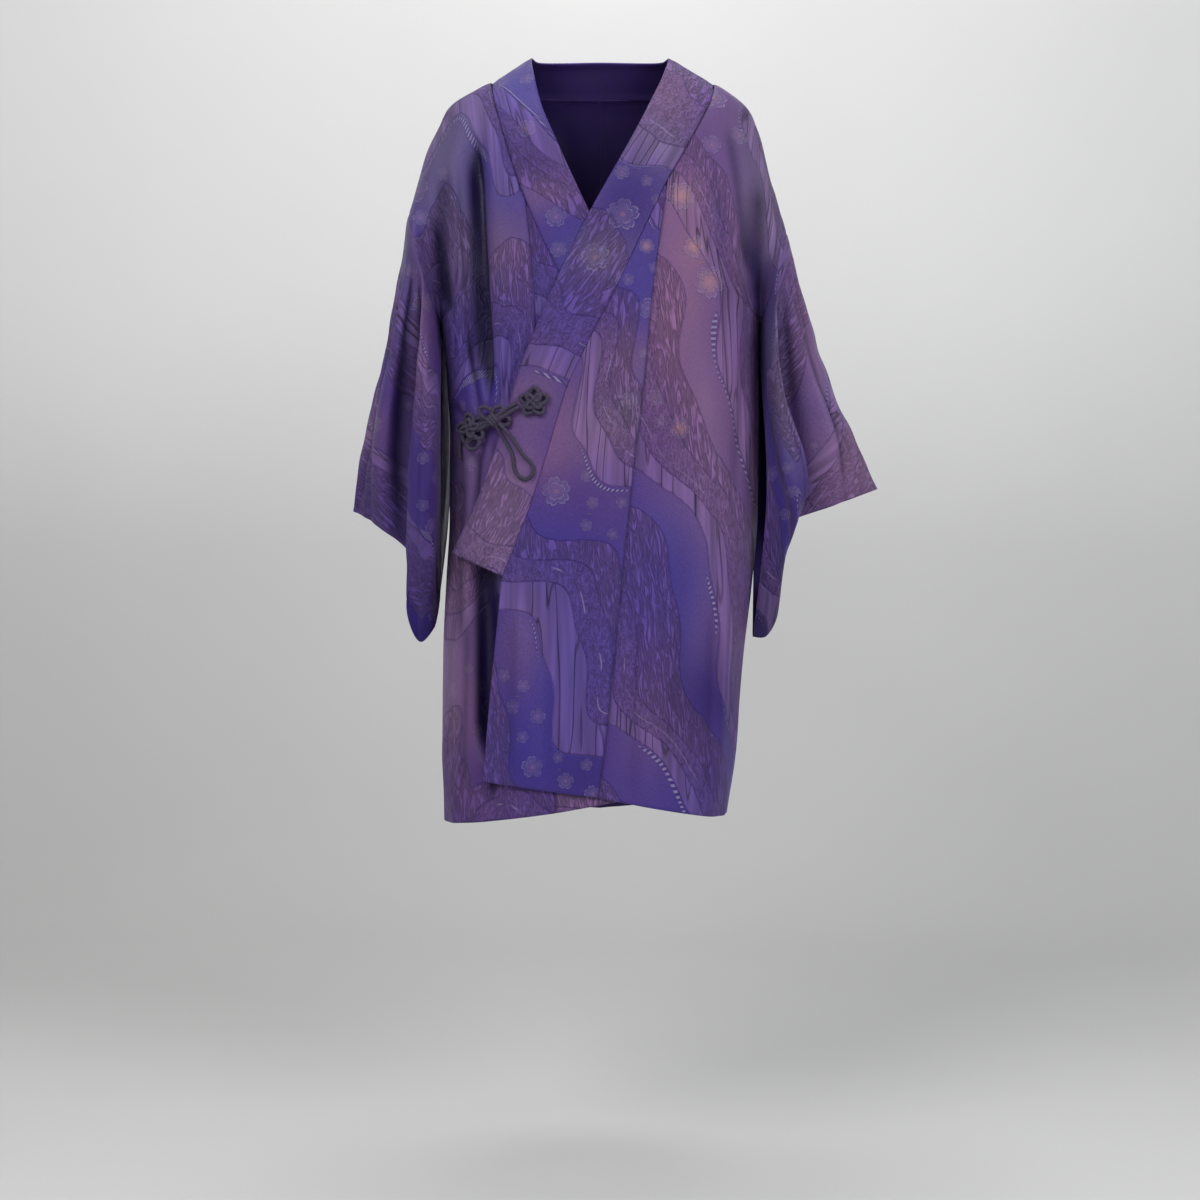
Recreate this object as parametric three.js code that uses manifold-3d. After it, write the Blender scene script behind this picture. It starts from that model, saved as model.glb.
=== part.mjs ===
// Kimono coat (dochugi): a hollow worn garment of silk crepe, wrapped left front over right front and
// tied on the wearer's right side with an ornamental cord.
//
// Millimetres, +Z up, the wearer faces -Y and the wearer's left is +X. The origin is between the
// shoulders at the height of the neck point, where the wearer carries the coat.
// The cloth is cut like the real coat: two bodies, each one length from the front hem over the shoulder
// to the back hem, two front overlap panels (okumi), one collar band and two bag sleeves.
import * as THREE from "three";
import { mergeVertices } from "three/addons/utils/BufferGeometryUtils.js";
import Module from "manifold-3d";

const wasm = await Module();
wasm.setup();

// ---- driving dimensions ----------------------------------------------------------------------
const CLOTH = 1.6; // wall of a single panel with its seam turnings
const COLLAR = 2.6; // wall of the folded collar band
const SEAM_GAP = 0.5; // between the edges of two panels sewn together
const NECK_GAP = 1.75; // between a body or okumi and the thicker collar
const NAPE_GAP = 2.4; // the same behind the neck, where the collar stands up from the body
// between the armhole edge and the sleeve, which meet at an angle towards the armpit
const SLEEVE_GAP = { shoulder: 0.4, armpit: 2.8 };
const NO_GAP = { shoulder: 0, armpit: 0 };
const LAYER = 4.4; // how far the over front lies outside the under front
const ROUNDNESS = 2.5; // exponent of the torso's horizontal sections
const ARMPIT = -322; // height where the sleeve seam ends and the side seam starts
const ARMHOLE_ROWS = 0.33; // share of a body's length parameter taken by the armhole
const CROWN_ROWS = 0.26; // the same for the part that follows the shoulder line's curve
const CORD = 4.5; // diameter of the tie cord
const KNOT_SIDES = { section: 5, ring: 8, ball: [7, 4] }; // facets of the small knots' parts

const RIGHT = -1;
const LEFT = 1;
const FRONT = -1;
const BACK = 1;

// Horizontal sections of the wrapped body: half-widths on the two sides, depths in front and behind.
// Above the armpit the half-width is that of the shoulder line.
const BODY_SECTIONS = [
  { z: 30, right: 40, left: 40, front: 16, back: 60 },
  { z: 0, right: 84, left: 85, front: 30, back: 76 },
  { z: -29, right: 128, left: 132, front: 46, back: 96 },
  { z: -57, right: 177, left: 174, front: 60, back: 106 },
  { z: -85, right: 194, left: 188, front: 75, back: 113 },
  { z: -126, right: 211, left: 199, front: 91, back: 121 },
  { z: -190, right: 226, left: 215, front: 107, back: 127 },
  { z: -250, right: 210, left: 212, front: 113, back: 129 },
  { z: -322, right: 191, left: 191, front: 117, back: 130 },
  { z: -440, right: 181, left: 191, front: 117, back: 128 },
  { z: -555, right: 181, left: 189, front: 119, back: 129 },
  { z: -640, right: 185, left: 182, front: 121, back: 132 },
  { z: -720, right: 188, left: 172, front: 124, back: 135 },
  { z: -830, right: 189, left: 163, front: 126, back: 138 },
  { z: -930, right: 186, left: 148, front: 128, back: 140 },
];

// The shoulder line of each side, from the neck to the sleeve seam.
const SHOULDER = {
  [RIGHT]: [
    { x: 84, z: 0 },
    { x: 128, z: -29 },
    { x: 177, z: -57 },
    { x: 194, z: -85 },
    { x: 211, z: -126 },
    { x: 229, z: -190 },
  ],
  [LEFT]: [
    { x: 84, z: 0 },
    { x: 132, z: -29 },
    { x: 174, z: -57 },
    { x: 188, z: -85 },
    { x: 205, z: -145 },
    { x: 223, z: -213 },
  ],
};

// The sleeve seam is an ellipse round the upper arm: its middle, its half-axis from the armpit to the
// shoulder line and its depth forwards and backwards.
const ARMHOLE = {
  [RIGHT]: { x: 210, z: -256, outX: 19, upZ: 66, depth: 82 },
  [LEFT]: { x: 207, z: -267.5, outX: 16, upZ: 54.5, depth: 82 },
};

const SLEEVE_RUN = [0.27, 0.96]; // outwards and down: the way a sleeve's fold leaves the shoulder line

// Edges of the collar band from the under end, round the neck, to the over end. The outer edge is
// sewn to the fronts and the back, the inner edge is free. "y" is given where the band stands off the
// body, round the neck; elsewhere it lies on the front.
const COLLAR_STATIONS = [
  { outer: [84, -625], inner: [144, -598], over: false },
  { outer: [55, -552], inner: [113, -536], over: false },
  { outer: [32, -482], inner: [89, -467], over: false },
  { outer: [8, -407], inner: [63, -390], over: false },
  { outer: [-36, -300], inner: [17, -274], over: false },
  { outer: [-65, -240], inner: [-13, -209], over: false },
  { outer: [-86, -190], inner: [-35, -160], over: false },
  { outer: [-100, -149], inner: [-52, -119], over: false },
  { outer: [-114, -102], inner: [-68, -78], over: false },
  { outer: [-124, -62], inner: [-78, -36], over: false },
  { outer: [-129, -30], inner: [-83, 1], over: false, y: [0, 2] },
  { outer: [-111, -25], inner: [-76, 9], over: false, y: [53, 40] },
  { outer: [-70, -24], inner: [-51, 16], over: false, y: [83, 64] },
  { outer: [0, -22], inner: [0, 20], over: false, y: [92, 74] },
  { outer: [70, -24], inner: [51, 16], over: false, y: [83, 64] },
  { outer: [112, -25], inner: [76, 9], over: false, y: [53, 40] },
  { outer: [135, -31], inner: [83, 1], over: false, y: [0, 2] },
  { outer: [130, -62], inner: [76, -30], over: true },
  { outer: [114, -98], inner: [63, -62], over: true },
  { outer: [96, -134], inner: [46, -100], over: true },
  { outer: [78, -168], inner: [27, -138], over: true },
  { outer: [61, -205], inner: [8, -174], over: true },
  { outer: [43, -243], inner: [-12, -212], over: true },
  { outer: [15, -303], inner: [-41, -272], over: true },
  { outer: [-12, -355], inner: [-68, -332], over: true },
  { outer: [-38, -410], inner: [-92, -392], over: true },
  { outer: [-60, -482], inner: [-114, -464], over: true },
  { outer: [-83, -552], inner: [-139, -533], over: true },
  { outer: [-112, -625], inner: [-172, -598], over: true },
];
const NECK_RIGHT = 10; // station of the collar on the right shoulder line
const NECK_BACK = 13; // station at the centre back
const NECK_LEFT = 16; // station on the left shoulder line

// The seam between each body's front and its okumi, from the collar to the hem.
const OKUMI_SEAM = {
  [RIGHT]: [
    { x: -86, z: -190 },
    { x: -78, z: -270 },
    { x: -73, z: -348 },
    { x: -66, z: -520 },
    { x: -58, z: -700 },
    { x: -50, z: -895 },
  ],
  [LEFT]: [
    { x: 78, z: -168 },
    { x: 72, z: -215 },
    { x: 62, z: -285 },
    { x: 50, z: -407 },
    { x: 40, z: -488 },
    { x: 28, z: -601 },
    { x: 19, z: -691 },
    { x: 6, z: -818 },
    { x: -2, z: -877 },
  ],
};

// The free front edge of each okumi, from the collar's end to the hem.
const FREE_EDGE = {
  [RIGHT]: [
    { x: 84, z: -625 },
    { x: 92, z: -704 },
    { x: 99, z: -776 },
    { x: 106, z: -866 },
  ],
  [LEFT]: [
    { x: -112, z: -625 },
    { x: -120, z: -704 },
    { x: -127, z: -776 },
    { x: -134, z: -861 },
  ],
};

const HEM = {
  [RIGHT]: { side: -916, back: -922 },
  [LEFT]: { side: -908, back: -922 },
};

// Large folds pressed into a face: from and to are the ends of the fold's middle line, "width" is its
// half-width and "depth" how far it goes in (negative stands out).
const FOLDS = [
  { piece: RIGHT, face: FRONT, from: [-148, -85], to: [-134, -425], width: 13, depth: 19 },
  { piece: RIGHT, face: FRONT, from: [-186, -140], to: [-184, -318], width: 12, depth: 12 },
  { piece: RIGHT, face: FRONT, from: [-134, -560], to: [-128, -850], width: 16, depth: 22 },
  { piece: LEFT, face: FRONT, from: [188, -150], to: [184, -318], width: 12, depth: 14 },
  { piece: LEFT, face: FRONT, from: [134, -330], to: [118, -820], width: 24, depth: -5 },
  { piece: LEFT, face: FRONT, from: [-92, -650], to: [-84, -872], width: 14, depth: -5 },
  { piece: RIGHT, face: BACK, from: [-150, -130], to: [-128, -520], width: 20, depth: 14 },
  { piece: LEFT, face: BACK, from: [148, -130], to: [130, -480], width: 20, depth: 14 },
  { piece: RIGHT, face: BACK, from: [-70, -420], to: [-78, -930], width: 24, depth: 8 },
  { piece: LEFT, face: BACK, from: [84, -480], to: [76, -930], width: 26, depth: 9 },
];

// The sleeve bags, by lines that run from the armhole or the open body side down to the rim. "v" is
// the distance from the shoulder fold along the cloth. Points are [outwards, forwards, height] at the
// rim and at two places above it; "top" is left out where the line starts on the sleeve seam.
const SLEEVE_LINES = {
  [RIGHT]: [
    { v: 0, mid: [261, 0, -363], low: [281, 0, -455], rim: [298, 0, -546] },
    { v: 77, mid: [243, 72, -375], low: [259, 68, -474], rim: [258, 56, -569] },
    { v: 121, mid: [204, 60, -385], low: [208, 58, -492], rim: [219, 56, -606] },
    { v: 140, mid: [211, 96, -392], low: [221, 97, -520], rim: [229, 42, -664] },
    { v: 179, mid: [199, 108, -420], low: [206, 104, -560], rim: [219, 3, -703] },
    { v: 230, mid: [187, 94, -440], low: [193, 84, -572], rim: [203, 2, -690] },
    { v: 350, top: [194, 24, -440], mid: [189, 44, -500], low: [194, 40, -600], rim: [197, 1.4, -672] },
    { v: 490, top: [194, 1.3, -560], mid: [193, 1.3, -590], low: [193, 1.3, -620], rim: [194, 1.3, -650] },
  ],
  [LEFT]: [
    { v: 0, mid: [272, 0, -377], low: [303, 0, -449], rim: [335, 0, -519] },
    { v: 77, mid: [253, 66, -390], low: [279, 62, -462], rim: [290, 50, -536] },
    { v: 121, mid: [208, 58, -398], low: [216, 58, -478], rim: [232, 56, -557] },
    { v: 140, mid: [210, 96, -405], low: [238, 97, -505], rim: [226, 46, -576] },
    { v: 179, mid: [206, 101, -430], low: [233, 101, -527], rim: [222, 42, -588] },
    { v: 230, mid: [203, 96, -470], low: [227, 97, -551], rim: [219, 38, -598] },
    { v: 350, top: [200, 88, -522], mid: [209, 92, -548], low: [216, 76, -590], rim: [215, 33, -610] },
    { v: 490, top: [190, 22, -699], mid: [196, 24, -680], low: [203, 26, -655], rim: [210, 28, -625] },
  ],
};
const BACK_DEPTH = 0.9; // the back layer's fold depth against the front's
const LAYERS_SEWN = 2.6; // between the middles of two layers that are sewn together

// ---- cords: places on the front as x and z, and "out" from the over front's cloth -----------------
const COLLAR_LIFT = CORD / 2 + COLLAR / 2 + 1.9; // middle of a knot that lies on the collar
const UNDER_LIFT = CORD / 2 + CLOTH / 2 + 2.4 - LAYER; // middle of a knot that lies on the under front
const COLLAR_KNOT = { x: -74, z: -428, petals: 5, reach: 16, turn: 0.3, lift: COLLAR_LIFT };
const FRONT_KNOT = { x: -147, z: -455, petals: 5, reach: 17, turn: 0.2, lift: UNDER_LIFT };
const BOW = { x: -119, z: -447 };
// Each loop's middle from the bow, its length against a ring's and its lean in radians.
const BOW_LOOPS = [
  { x: 9, z: 5, long: 1.2, lean: 0.5 },
  { x: -8, z: 8, long: 1.2, lean: -0.7 },
];
const LINK_ROUTE = [
  [-117, -445, 7],
  [-108, -438, 7.5],
  [-98, -431, 6.5],
  [-95.5, -430, 6.3],
];
// Cord from the front's flower knot to the bow.
const BRIDGE_ROUTE = [
  [-142, -454, 1],
  [-133, -451, 2],
  [-121, -448, 5.5],
];
const TAIL_ROUTE = [
  [-158, -460, 1.5],
  [-162, -467, 0.5],
  [-164, -478, 0],
  [-163, -489, -0.5],
];
// The tie's hanging loop: down from the bow, round and back up beside itself.
const TIE_ROUTE = [
  [-116.5, -453.2, 8],
  [-112.5, -461, 6.5],
  [-108, -470, 5],
  [-103, -479, 4.4],
  [-99, -488, 4.4],
  [-97.5, -496, 4.4],
  [-96.5, -504, 4.4],
  [-92, -512, 4.4],
  [-84, -516, 4.4],
  [-76.5, -512, 4.4],
  [-75, -504, 4.4],
  [-79, -496, 4.4],
  [-86, -489, 4.6],
  [-91.5, -481, 5],
  [-96.5, -473, 6.5],
  [-102, -464, 8.8],
  [-108, -456, 10.4],
  [-111.5, -451.5, 11.4],
];

// ---- small tools ---------------------------------------------------------------------------
const lerp = THREE.MathUtils.lerp;
const clamp01 = (value) => Math.min(1, Math.max(0, value));
const smooth = (value, from, to) => THREE.MathUtils.smoothstep(clamp01((value - from) / (to - from)), 0, 1);

// Smooth value at "at" in a table of rows, through column "key" against column "along".
function tableValue(rows, along, key, at) {
  const rising = rows[rows.length - 1][along] > rows[0][along];
  const list = rising ? rows : [...rows].reverse();
  const last = list.length - 1;
  if (at <= list[0][along]) return list[0][key];
  if (at >= list[last][along]) return list[last][key];
  const i = list.findIndex((row) => row[along] > at) - 1;
  const slope = (k) => {
    const a = list[Math.max(0, k - 1)];
    const b = list[Math.min(last, k + 1)];
    return (b[key] - a[key]) / (b[along] - a[along]);
  };
  const span = list[i + 1][along] - list[i][along];
  const t = (at - list[i][along]) / span;
  const a = 2 * t ** 3 - 3 * t ** 2 + 1;
  const b = t ** 3 - 2 * t ** 2 + t;
  const c = -2 * t ** 3 + 3 * t ** 2;
  const d = t ** 3 - t ** 2;
  return a * list[i][key] + b * span * slope(i) + c * list[i + 1][key] + d * span * slope(i + 1);
}

// Point at t (0 to 1) on a smooth curve through points, which are evenly spread over t.
function through(points, t) {
  const at = clamp01(t) * (points.length - 1);
  const i = Math.min(points.length - 2, Math.floor(at));
  const p = (k) => points[Math.min(points.length - 1, Math.max(0, k))];
  const f = at - i;
  const blend = (a, b, c, d) =>
    0.5 * (2 * b + (c - a) * f + (2 * a - 5 * b + 4 * c - d) * f * f + (3 * b - a - 3 * c + d) * f ** 3);
  const [a, b, c, d] = [p(i - 1), p(i), p(i + 1), p(i + 2)];
  return new THREE.Vector3(blend(a.x, b.x, c.x, d.x), blend(a.y, b.y, c.y, d.y), blend(a.z, b.z, c.z, d.z));
}

// ---- the surface that the cloth lies on ----------------------------------------------------
const halfWidth = (side, z) => tableValue(BODY_SECTIONS, "z", side === RIGHT ? "right" : "left", z);
const depthAt = (face, z) => tableValue(BODY_SECTIONS, "z", face === FRONT ? "front" : "back", z);

// Depth of the cloth from the middle plane at x, z, with the whole section grown by "out".
function clothDepth(face, x, z, out = 0) {
  const across = clamp01(Math.abs(x) / (halfWidth(x < 0 ? RIGHT : LEFT, z) + out));
  return (depthAt(face, z) + out) * (1 - across ** ROUNDNESS) ** (1 / ROUNDNESS);
}

// How far the pieces of the over front stand outside the under front. It runs out towards the side
// seam and above the crossing of the collars.
function overLift(x, z) {
  const edge = halfWidth(LEFT, z);
  return LAYER * (1 - smooth(x, edge - 32, edge - 4)) * smooth(-z, 110, 190);
}

function foldDepth(piece, face, x, z) {
  let depth = 0;
  for (const fold of FOLDS) {
    if (fold.piece !== piece || fold.face !== face) continue;
    const along = (fold.from[1] - z) / (fold.from[1] - fold.to[1]);
    const middle = lerp(fold.from[0], fold.to[0], clamp01(along));
    const fade = smooth(along, 0, 0.25) * (1 - smooth(along, 0.8, 1));
    const across = (x - middle) / fold.width;
    depth += fold.depth * fade * Math.exp(-across * across);
  }
  return depth;
}

// A point of a front or back at x, z. "piece" is the side whose cloth it is.
function clothPoint(piece, face, x, z) {
  const out = piece === LEFT && face === FRONT ? overLift(x, z) : 0;
  const depth = clothDepth(face, x, z, out) - foldDepth(piece, face, x, z);
  return new THREE.Vector3(x, face * depth, z);
}

// The sleeve seam at angle 0 (shoulder line) to PI (armpit), "gap" away from the body's edge.
function seamPoint(side, face, angle, gap = NO_GAP) {
  const hole = ARMHOLE[side];
  const turned = smooth(angle, 0, 1);
  const [runX, runZ] = SLEEVE_RUN;
  const x = hole.x + hole.outX * Math.cos(angle) + lerp(gap.shoulder * runX, gap.armpit, turned);
  const z = hole.z + hole.upZ * Math.cos(angle) - lerp(gap.shoulder * runZ, 0, turned);
  return new THREE.Vector3(side * x, face * hole.depth * Math.sin(angle), z);
}

// ---- closed solids from sheets of points ---------------------------------------------------
// grid[i][j] is the middle of the wall. The wall has both faces and a rim all round.
function shell(grid, wall) {
  const rows = grid.length;
  const columns = grid[0].length;
  const at = (i, j) => grid[Math.min(rows - 1, Math.max(0, i))][Math.min(columns - 1, Math.max(0, j))];
  const positions = [];
  for (const sign of [1, -1]) {
    for (let i = 0; i < rows; i++) {
      for (let j = 0; j < columns; j++) {
        const down = at(i + 1, j).clone().sub(at(i - 1, j));
        const across = at(i, j + 1).clone().sub(at(i, j - 1));
        const normal = across.cross(down).normalize();
        positions.push(...at(i, j).clone().addScaledVector(normal, (sign * wall) / 2));
      }
    }
  }
  const index = [];
  const inner = rows * columns;
  const quad = (a, b, c, d) => index.push(a, b, c, a, c, d);
  for (let i = 0; i < rows - 1; i++) {
    for (let j = 0; j < columns - 1; j++) {
      const a = i * columns + j;
      const b = a + columns;
      quad(a, a + 1, b + 1, b);
      quad(inner + a, inner + b, inner + b + 1, inner + a + 1);
    }
  }
  const rim = [];
  for (let j = 0; j < columns - 1; j++) rim.push(j);
  for (let i = 0; i < rows - 1; i++) rim.push(i * columns + columns - 1);
  for (let j = columns - 1; j > 0; j--) rim.push((rows - 1) * columns + j);
  for (let i = rows - 1; i > 0; i--) rim.push(i * columns);
  rim.forEach((a, k) => {
    const b = rim[(k + 1) % rim.length];
    quad(a, inner + a, inner + b, b);
  });
  const geometry = new THREE.BufferGeometry();
  geometry.setAttribute("position", new THREE.Float32BufferAttribute(positions, 3));
  geometry.setIndex(index);
  return facingOut(geometry);
}

function facingOut(geometry) {
  const p = geometry.getAttribute("position");
  const index = geometry.getIndex().array;
  const corner = (k) => new THREE.Vector3().fromBufferAttribute(p, index[k]);
  let volume = 0;
  for (let k = 0; k < index.length; k += 3) {
    volume += corner(k).dot(corner(k + 1).cross(corner(k + 2)));
  }
  if (volume < 0) {
    for (let k = 0; k < index.length; k += 3) [index[k], index[k + 1]] = [index[k + 1], index[k]];
  }
  return geometry;
}

// ---- bodies --------------------------------------------------------------------------------
// Length parameters of the rows of points across a front and a back, from the shoulder line to the
// hem: close together round the armhole, with one row at each corner of the neckline and the armpit.
const FRONT_ROWS = [
  0, 0.03, 0.065, 0.1, 0.14, 0.18, 0.215, 0.25, 0.28, 0.305, 0.33,
  0.38, 0.44, 0.5, 0.56, 0.63, 0.7, 0.77, 0.85, 0.93, 1,
];
const BACK_ROWS = [
  0, 0.035, 0.08, 0.134, 0.175, 0.215, 0.255, 0.295, 0.33,
  0.42, 0.51, 0.6, 0.7, 0.8, 0.9, 1,
];
const NAPE = BACK_ROWS[3]; // where the back's inner edge meets the centre back of the neckline
const OKUMI_TOP = { [RIGHT]: FRONT_ROWS[8], [LEFT]: FRONT_ROWS[7] }; // where the okumi seam leaves the collar
const OKUMI_STATION = { [RIGHT]: 6, [LEFT]: 20 }; // the same place, as a station of the collar
const BODY_COLUMNS = 17;
const COLUMN_CROWDING = { neck: 1.1, side: 2.3 }; // how much closer the columns stand towards the side
const ARMHOLE_BLEND = 0.68; // share of a row that runs straight before it turns to the sleeve seam

function collarEdge(edge, station) {
  const points = COLLAR_STATIONS.map((row) => {
    const [x, z] = row[edge];
    const out = row.over ? overLift(x, z) : 0;
    const y = row.y ? row.y[edge === "outer" ? 0 : 1] : -clothDepth(FRONT, x, z, out);
    return new THREE.Vector3(x, y, z);
  });
  return through(points, station / (points.length - 1));
}

// The collar seam on the body's side of the gap: beside it in front, outwards on the shoulder line and
// below it behind.
function besideCollar(side, face, station) {
  const edge = collarEdge("outer", station);
  const ridge = side === RIGHT ? NECK_RIGHT : NECK_LEFT;
  const away = smooth(Math.abs(station - ridge), 0, 1);
  const along = collarEdge("outer", station + 0.1).sub(collarEdge("outer", station - 0.1));
  along.setY(0).normalize();
  const beside = face === FRONT ? new THREE.Vector3(-along.z, 0, along.x) : new THREE.Vector3(0, 0, -1);
  const outwards = new THREE.Vector3(side, 0, 0);
  const gap = face === FRONT ? NECK_GAP : lerp(NECK_GAP, NAPE_GAP, away);
  return edge.addScaledVector(outwards.lerp(beside, away), gap);
}

// Inner edge of a body piece, at w from 0 (shoulder line) to 1 (hem), as x and z.
function bodyInnerEdge(side, face, w) {
  const neck = side === RIGHT ? NECK_RIGHT : NECK_LEFT;
  if (face === BACK) {
    if (w < NAPE) return besideCollar(side, BACK, lerp(neck, NECK_BACK, w / NAPE));
    const z = lerp(besideCollar(side, BACK, NECK_BACK).z, HEM[side].back, (w - NAPE) / (1 - NAPE));
    return new THREE.Vector3((side * SEAM_GAP) / 2, 0, z);
  }
  const seam = OKUMI_SEAM[side];
  const top = OKUMI_TOP[side];
  if (w <= top) return besideCollar(side, FRONT, lerp(neck, OKUMI_STATION[side], w / top));
  const z = lerp(seam[0].z, seam[seam.length - 1].z, (w - top) / (1 - top));
  return new THREE.Vector3(tableValue(seam, "z", "x", z) + (side * SEAM_GAP) / 2, 0, z);
}

function bodyPoint(side, face, w, t) {
  const start = bodyInnerEdge(side, face, w);
  const onArmhole = w < ARMHOLE_ROWS;
  const below = (w - ARMHOLE_ROWS) / (1 - ARMHOLE_ROWS);
  const sideZ = lerp(ARMPIT, HEM[side].side, below);
  const end = onArmhole
    ? seamPoint(side, face, (Math.PI * w) / ARMHOLE_ROWS)
    : new THREE.Vector3(side * halfWidth(side, sideZ), 0, sideZ);
  const crowding = lerp(COLUMN_CROWDING.neck, COLUMN_CROWDING.side, clamp01(w / ARMHOLE_ROWS));
  const share = 1 - (1 - t) ** crowding;
  const x = lerp(start.x, end.x, share);
  const shoulder = SHOULDER[side];
  const outerEnd = shoulder[shoulder.length - 1];
  const neckEnd = besideCollar(side, FRONT, side === RIGHT ? NECK_RIGHT : NECK_LEFT);
  const across = clamp01((x - neckEnd.x) / (side * outerEnd.x - neckEnd.x));
  const shoulderX = Math.abs(lerp(neckEnd.x, side * outerEnd.x, across));
  const rise = tableValue(shoulder, "x", "z", shoulderX) - lerp(neckEnd.z, outerEnd.z, across);
  const crown = Math.cos((Math.PI / 2) * clamp01(w / CROWN_ROWS)) ** 2;
  const z = lerp(start.z, end.z, share) + crown * rise;
  const point = clothPoint(side, face, x, z);
  if (w === 0) point.y = 0;
  if (onArmhole) point.y = lerp(point.y, end.y, smooth(t, ARMHOLE_BLEND, 1));
  else point.y += face * SEAM_GAP * smooth(t, 0.9, 1);
  return point;
}

function body(side) {
  const grid = [];
  const row = (face, w) => {
    const line = [];
    for (let j = 0; j < BODY_COLUMNS; j++) line.push(bodyPoint(side, face, w, j / (BODY_COLUMNS - 1)));
    return line;
  };
  for (const w of FRONT_ROWS.slice(1).reverse()) grid.push(row(FRONT, w));
  for (const w of BACK_ROWS) grid.push(row(BACK, w));
  return shell(grid, CLOTH);
}

// ---- okumi ---------------------------------------------------------------------------------
const OKUMI_COLUMNS = 8;
const ALONG_COLLAR = 0.68; // share of an okumi's length that is sewn to the collar
const OKUMI_POINT = 0.02; // share left off its point, where it is narrower than the seams

function okumi(side) {
  const seam = OKUMI_SEAM[side];
  const free = FREE_EDGE[side];
  const endStation = side === RIGHT ? 0 : COLLAR_STATIONS.length - 1;
  const grid = [];
  for (const bodyRow of FRONT_ROWS) {
    const w = (bodyRow - OKUMI_TOP[side]) / (1 - OKUMI_TOP[side]);
    if (w < OKUMI_POINT) continue;
    const seamZ = lerp(seam[0].z, seam[seam.length - 1].z, w);
    const start = { x: tableValue(seam, "z", "x", seamZ) - (side * SEAM_GAP) / 2, z: seamZ };
    let end;
    if (w < ALONG_COLLAR) {
      end = besideCollar(side, FRONT, lerp(OKUMI_STATION[side], endStation, w / ALONG_COLLAR));
    } else {
      const z = lerp(free[0].z, free[free.length - 1].z, (w - ALONG_COLLAR) / (1 - ALONG_COLLAR));
      end = { x: tableValue(free, "z", "x", z) + side * SEAM_GAP, z };
    }
    const line = [];
    for (let j = 0; j < OKUMI_COLUMNS; j++) {
      const t = j / (OKUMI_COLUMNS - 1);
      line.push(clothPoint(side, FRONT, lerp(start.x, end.x, t), lerp(start.z, end.z, t)));
    }
    grid.push(line);
  }
  return shell(grid, CLOTH);
}

// ---- collar --------------------------------------------------------------------------------
const COLLAR_COLUMNS = 5;

function collar() {
  const lengths = (COLLAR_STATIONS.length - 1) * 2;
  const grid = [];
  for (let i = 0; i <= lengths; i++) {
    const outer = collarEdge("outer", i / 2);
    const inner = collarEdge("inner", i / 2);
    const line = [];
    for (let j = 0; j < COLLAR_COLUMNS; j++) {
      const point = outer.clone().lerp(inner, j / (COLLAR_COLUMNS - 1));
      const station = COLLAR_STATIONS[Math.round(i / 2)];
      const out = station.over ? overLift(point.x, point.z) : 0;
      if (!station.y && j > 0 && j < COLLAR_COLUMNS - 1) point.y = -clothDepth(FRONT, point.x, point.z, out);
      line.push(point);
    }
    grid.push(line);
  }
  return shell(grid, COLLAR);
}

// ---- sleeves -------------------------------------------------------------------------------
const ARMHOLE_CLOTH = 230; // cloth of one sleeve layer along the armhole, from the shoulder to the armpit
const SLEEVE_ROWS = 13;
const SLEEVE_COLUMNS = 43;

function sleeve(side) {
  const lines = SLEEVE_LINES[side];
  const stations = (line, face) => {
    const place = ([x, forward, z]) => {
      const isSewnEdge = line.v === lines[lines.length - 1].v;
      let y = -forward;
      if (face === BACK && isSewnEdge) y = -forward + LAYERS_SEWN;
      else if (face === BACK) y = forward < 5 ? forward : forward * BACK_DEPTH;
      return new THREE.Vector3(side * x, y, z);
    };
    const top = line.top
      ? place(line.top)
      : seamPoint(side, face, (Math.PI * line.v) / ARMHOLE_CLOTH, SLEEVE_GAP);
    return [top, place(line.mid), place(line.low), place(line.rim)];
  };
  const front = lines.map((line) => stations(line, FRONT));
  const back = lines.slice(1).map((line) => stations(line, BACK));
  const around = [...front.reverse(), ...back];
  const grid = [];
  for (let i = 0; i < SLEEVE_ROWS; i++) {
    const ring = around.map((points) => through(points, i / (SLEEVE_ROWS - 1)));
    const line = [];
    for (let j = 0; j < SLEEVE_COLUMNS; j++) line.push(through(ring, j / (SLEEVE_COLUMNS - 1)));
    grid.push(line);
  }
  return shell(grid, CLOTH);
}

// ---- cord knots and ties -------------------------------------------------------------------
// A point on the garment's right front, "out" away from the cloth.
function onFront(x, z, out) {
  const step = 2;
  const a = clothPoint(LEFT, FRONT, x, z);
  const across = clothPoint(LEFT, FRONT, x + step, z).sub(clothPoint(LEFT, FRONT, x - step, z));
  const up = clothPoint(LEFT, FRONT, x, z + step).sub(clothPoint(LEFT, FRONT, x, z - step));
  const normal = across.cross(up).normalize();
  if (normal.y > 0) normal.negate();
  return { point: a.addScaledVector(normal, out), normal };
}

function toManifold(geometry) {
  const bare = geometry.index ? geometry.toNonIndexed() : geometry;
  bare.deleteAttribute("normal");
  bare.deleteAttribute("uv");
  const merged = mergeVertices(bare, 1e-4);
  return new wasm.Manifold(
    new wasm.Mesh({
      numProp: 3,
      vertProperties: new Float32Array(merged.getAttribute("position").array),
      triVerts: new Uint32Array(merged.index.array),
    }),
  );
}

function fromManifold(solid) {
  const mesh = solid.getMesh();
  const geometry = new THREE.BufferGeometry();
  geometry.setAttribute("position", new THREE.Float32BufferAttribute(mesh.vertProperties, 3));
  geometry.setIndex([...mesh.triVerts]);
  return geometry;
}

const fuse = (geometries) =>
  fromManifold(geometries.map(toManifold).reduce((whole, part) => whole.add(part)));

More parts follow.
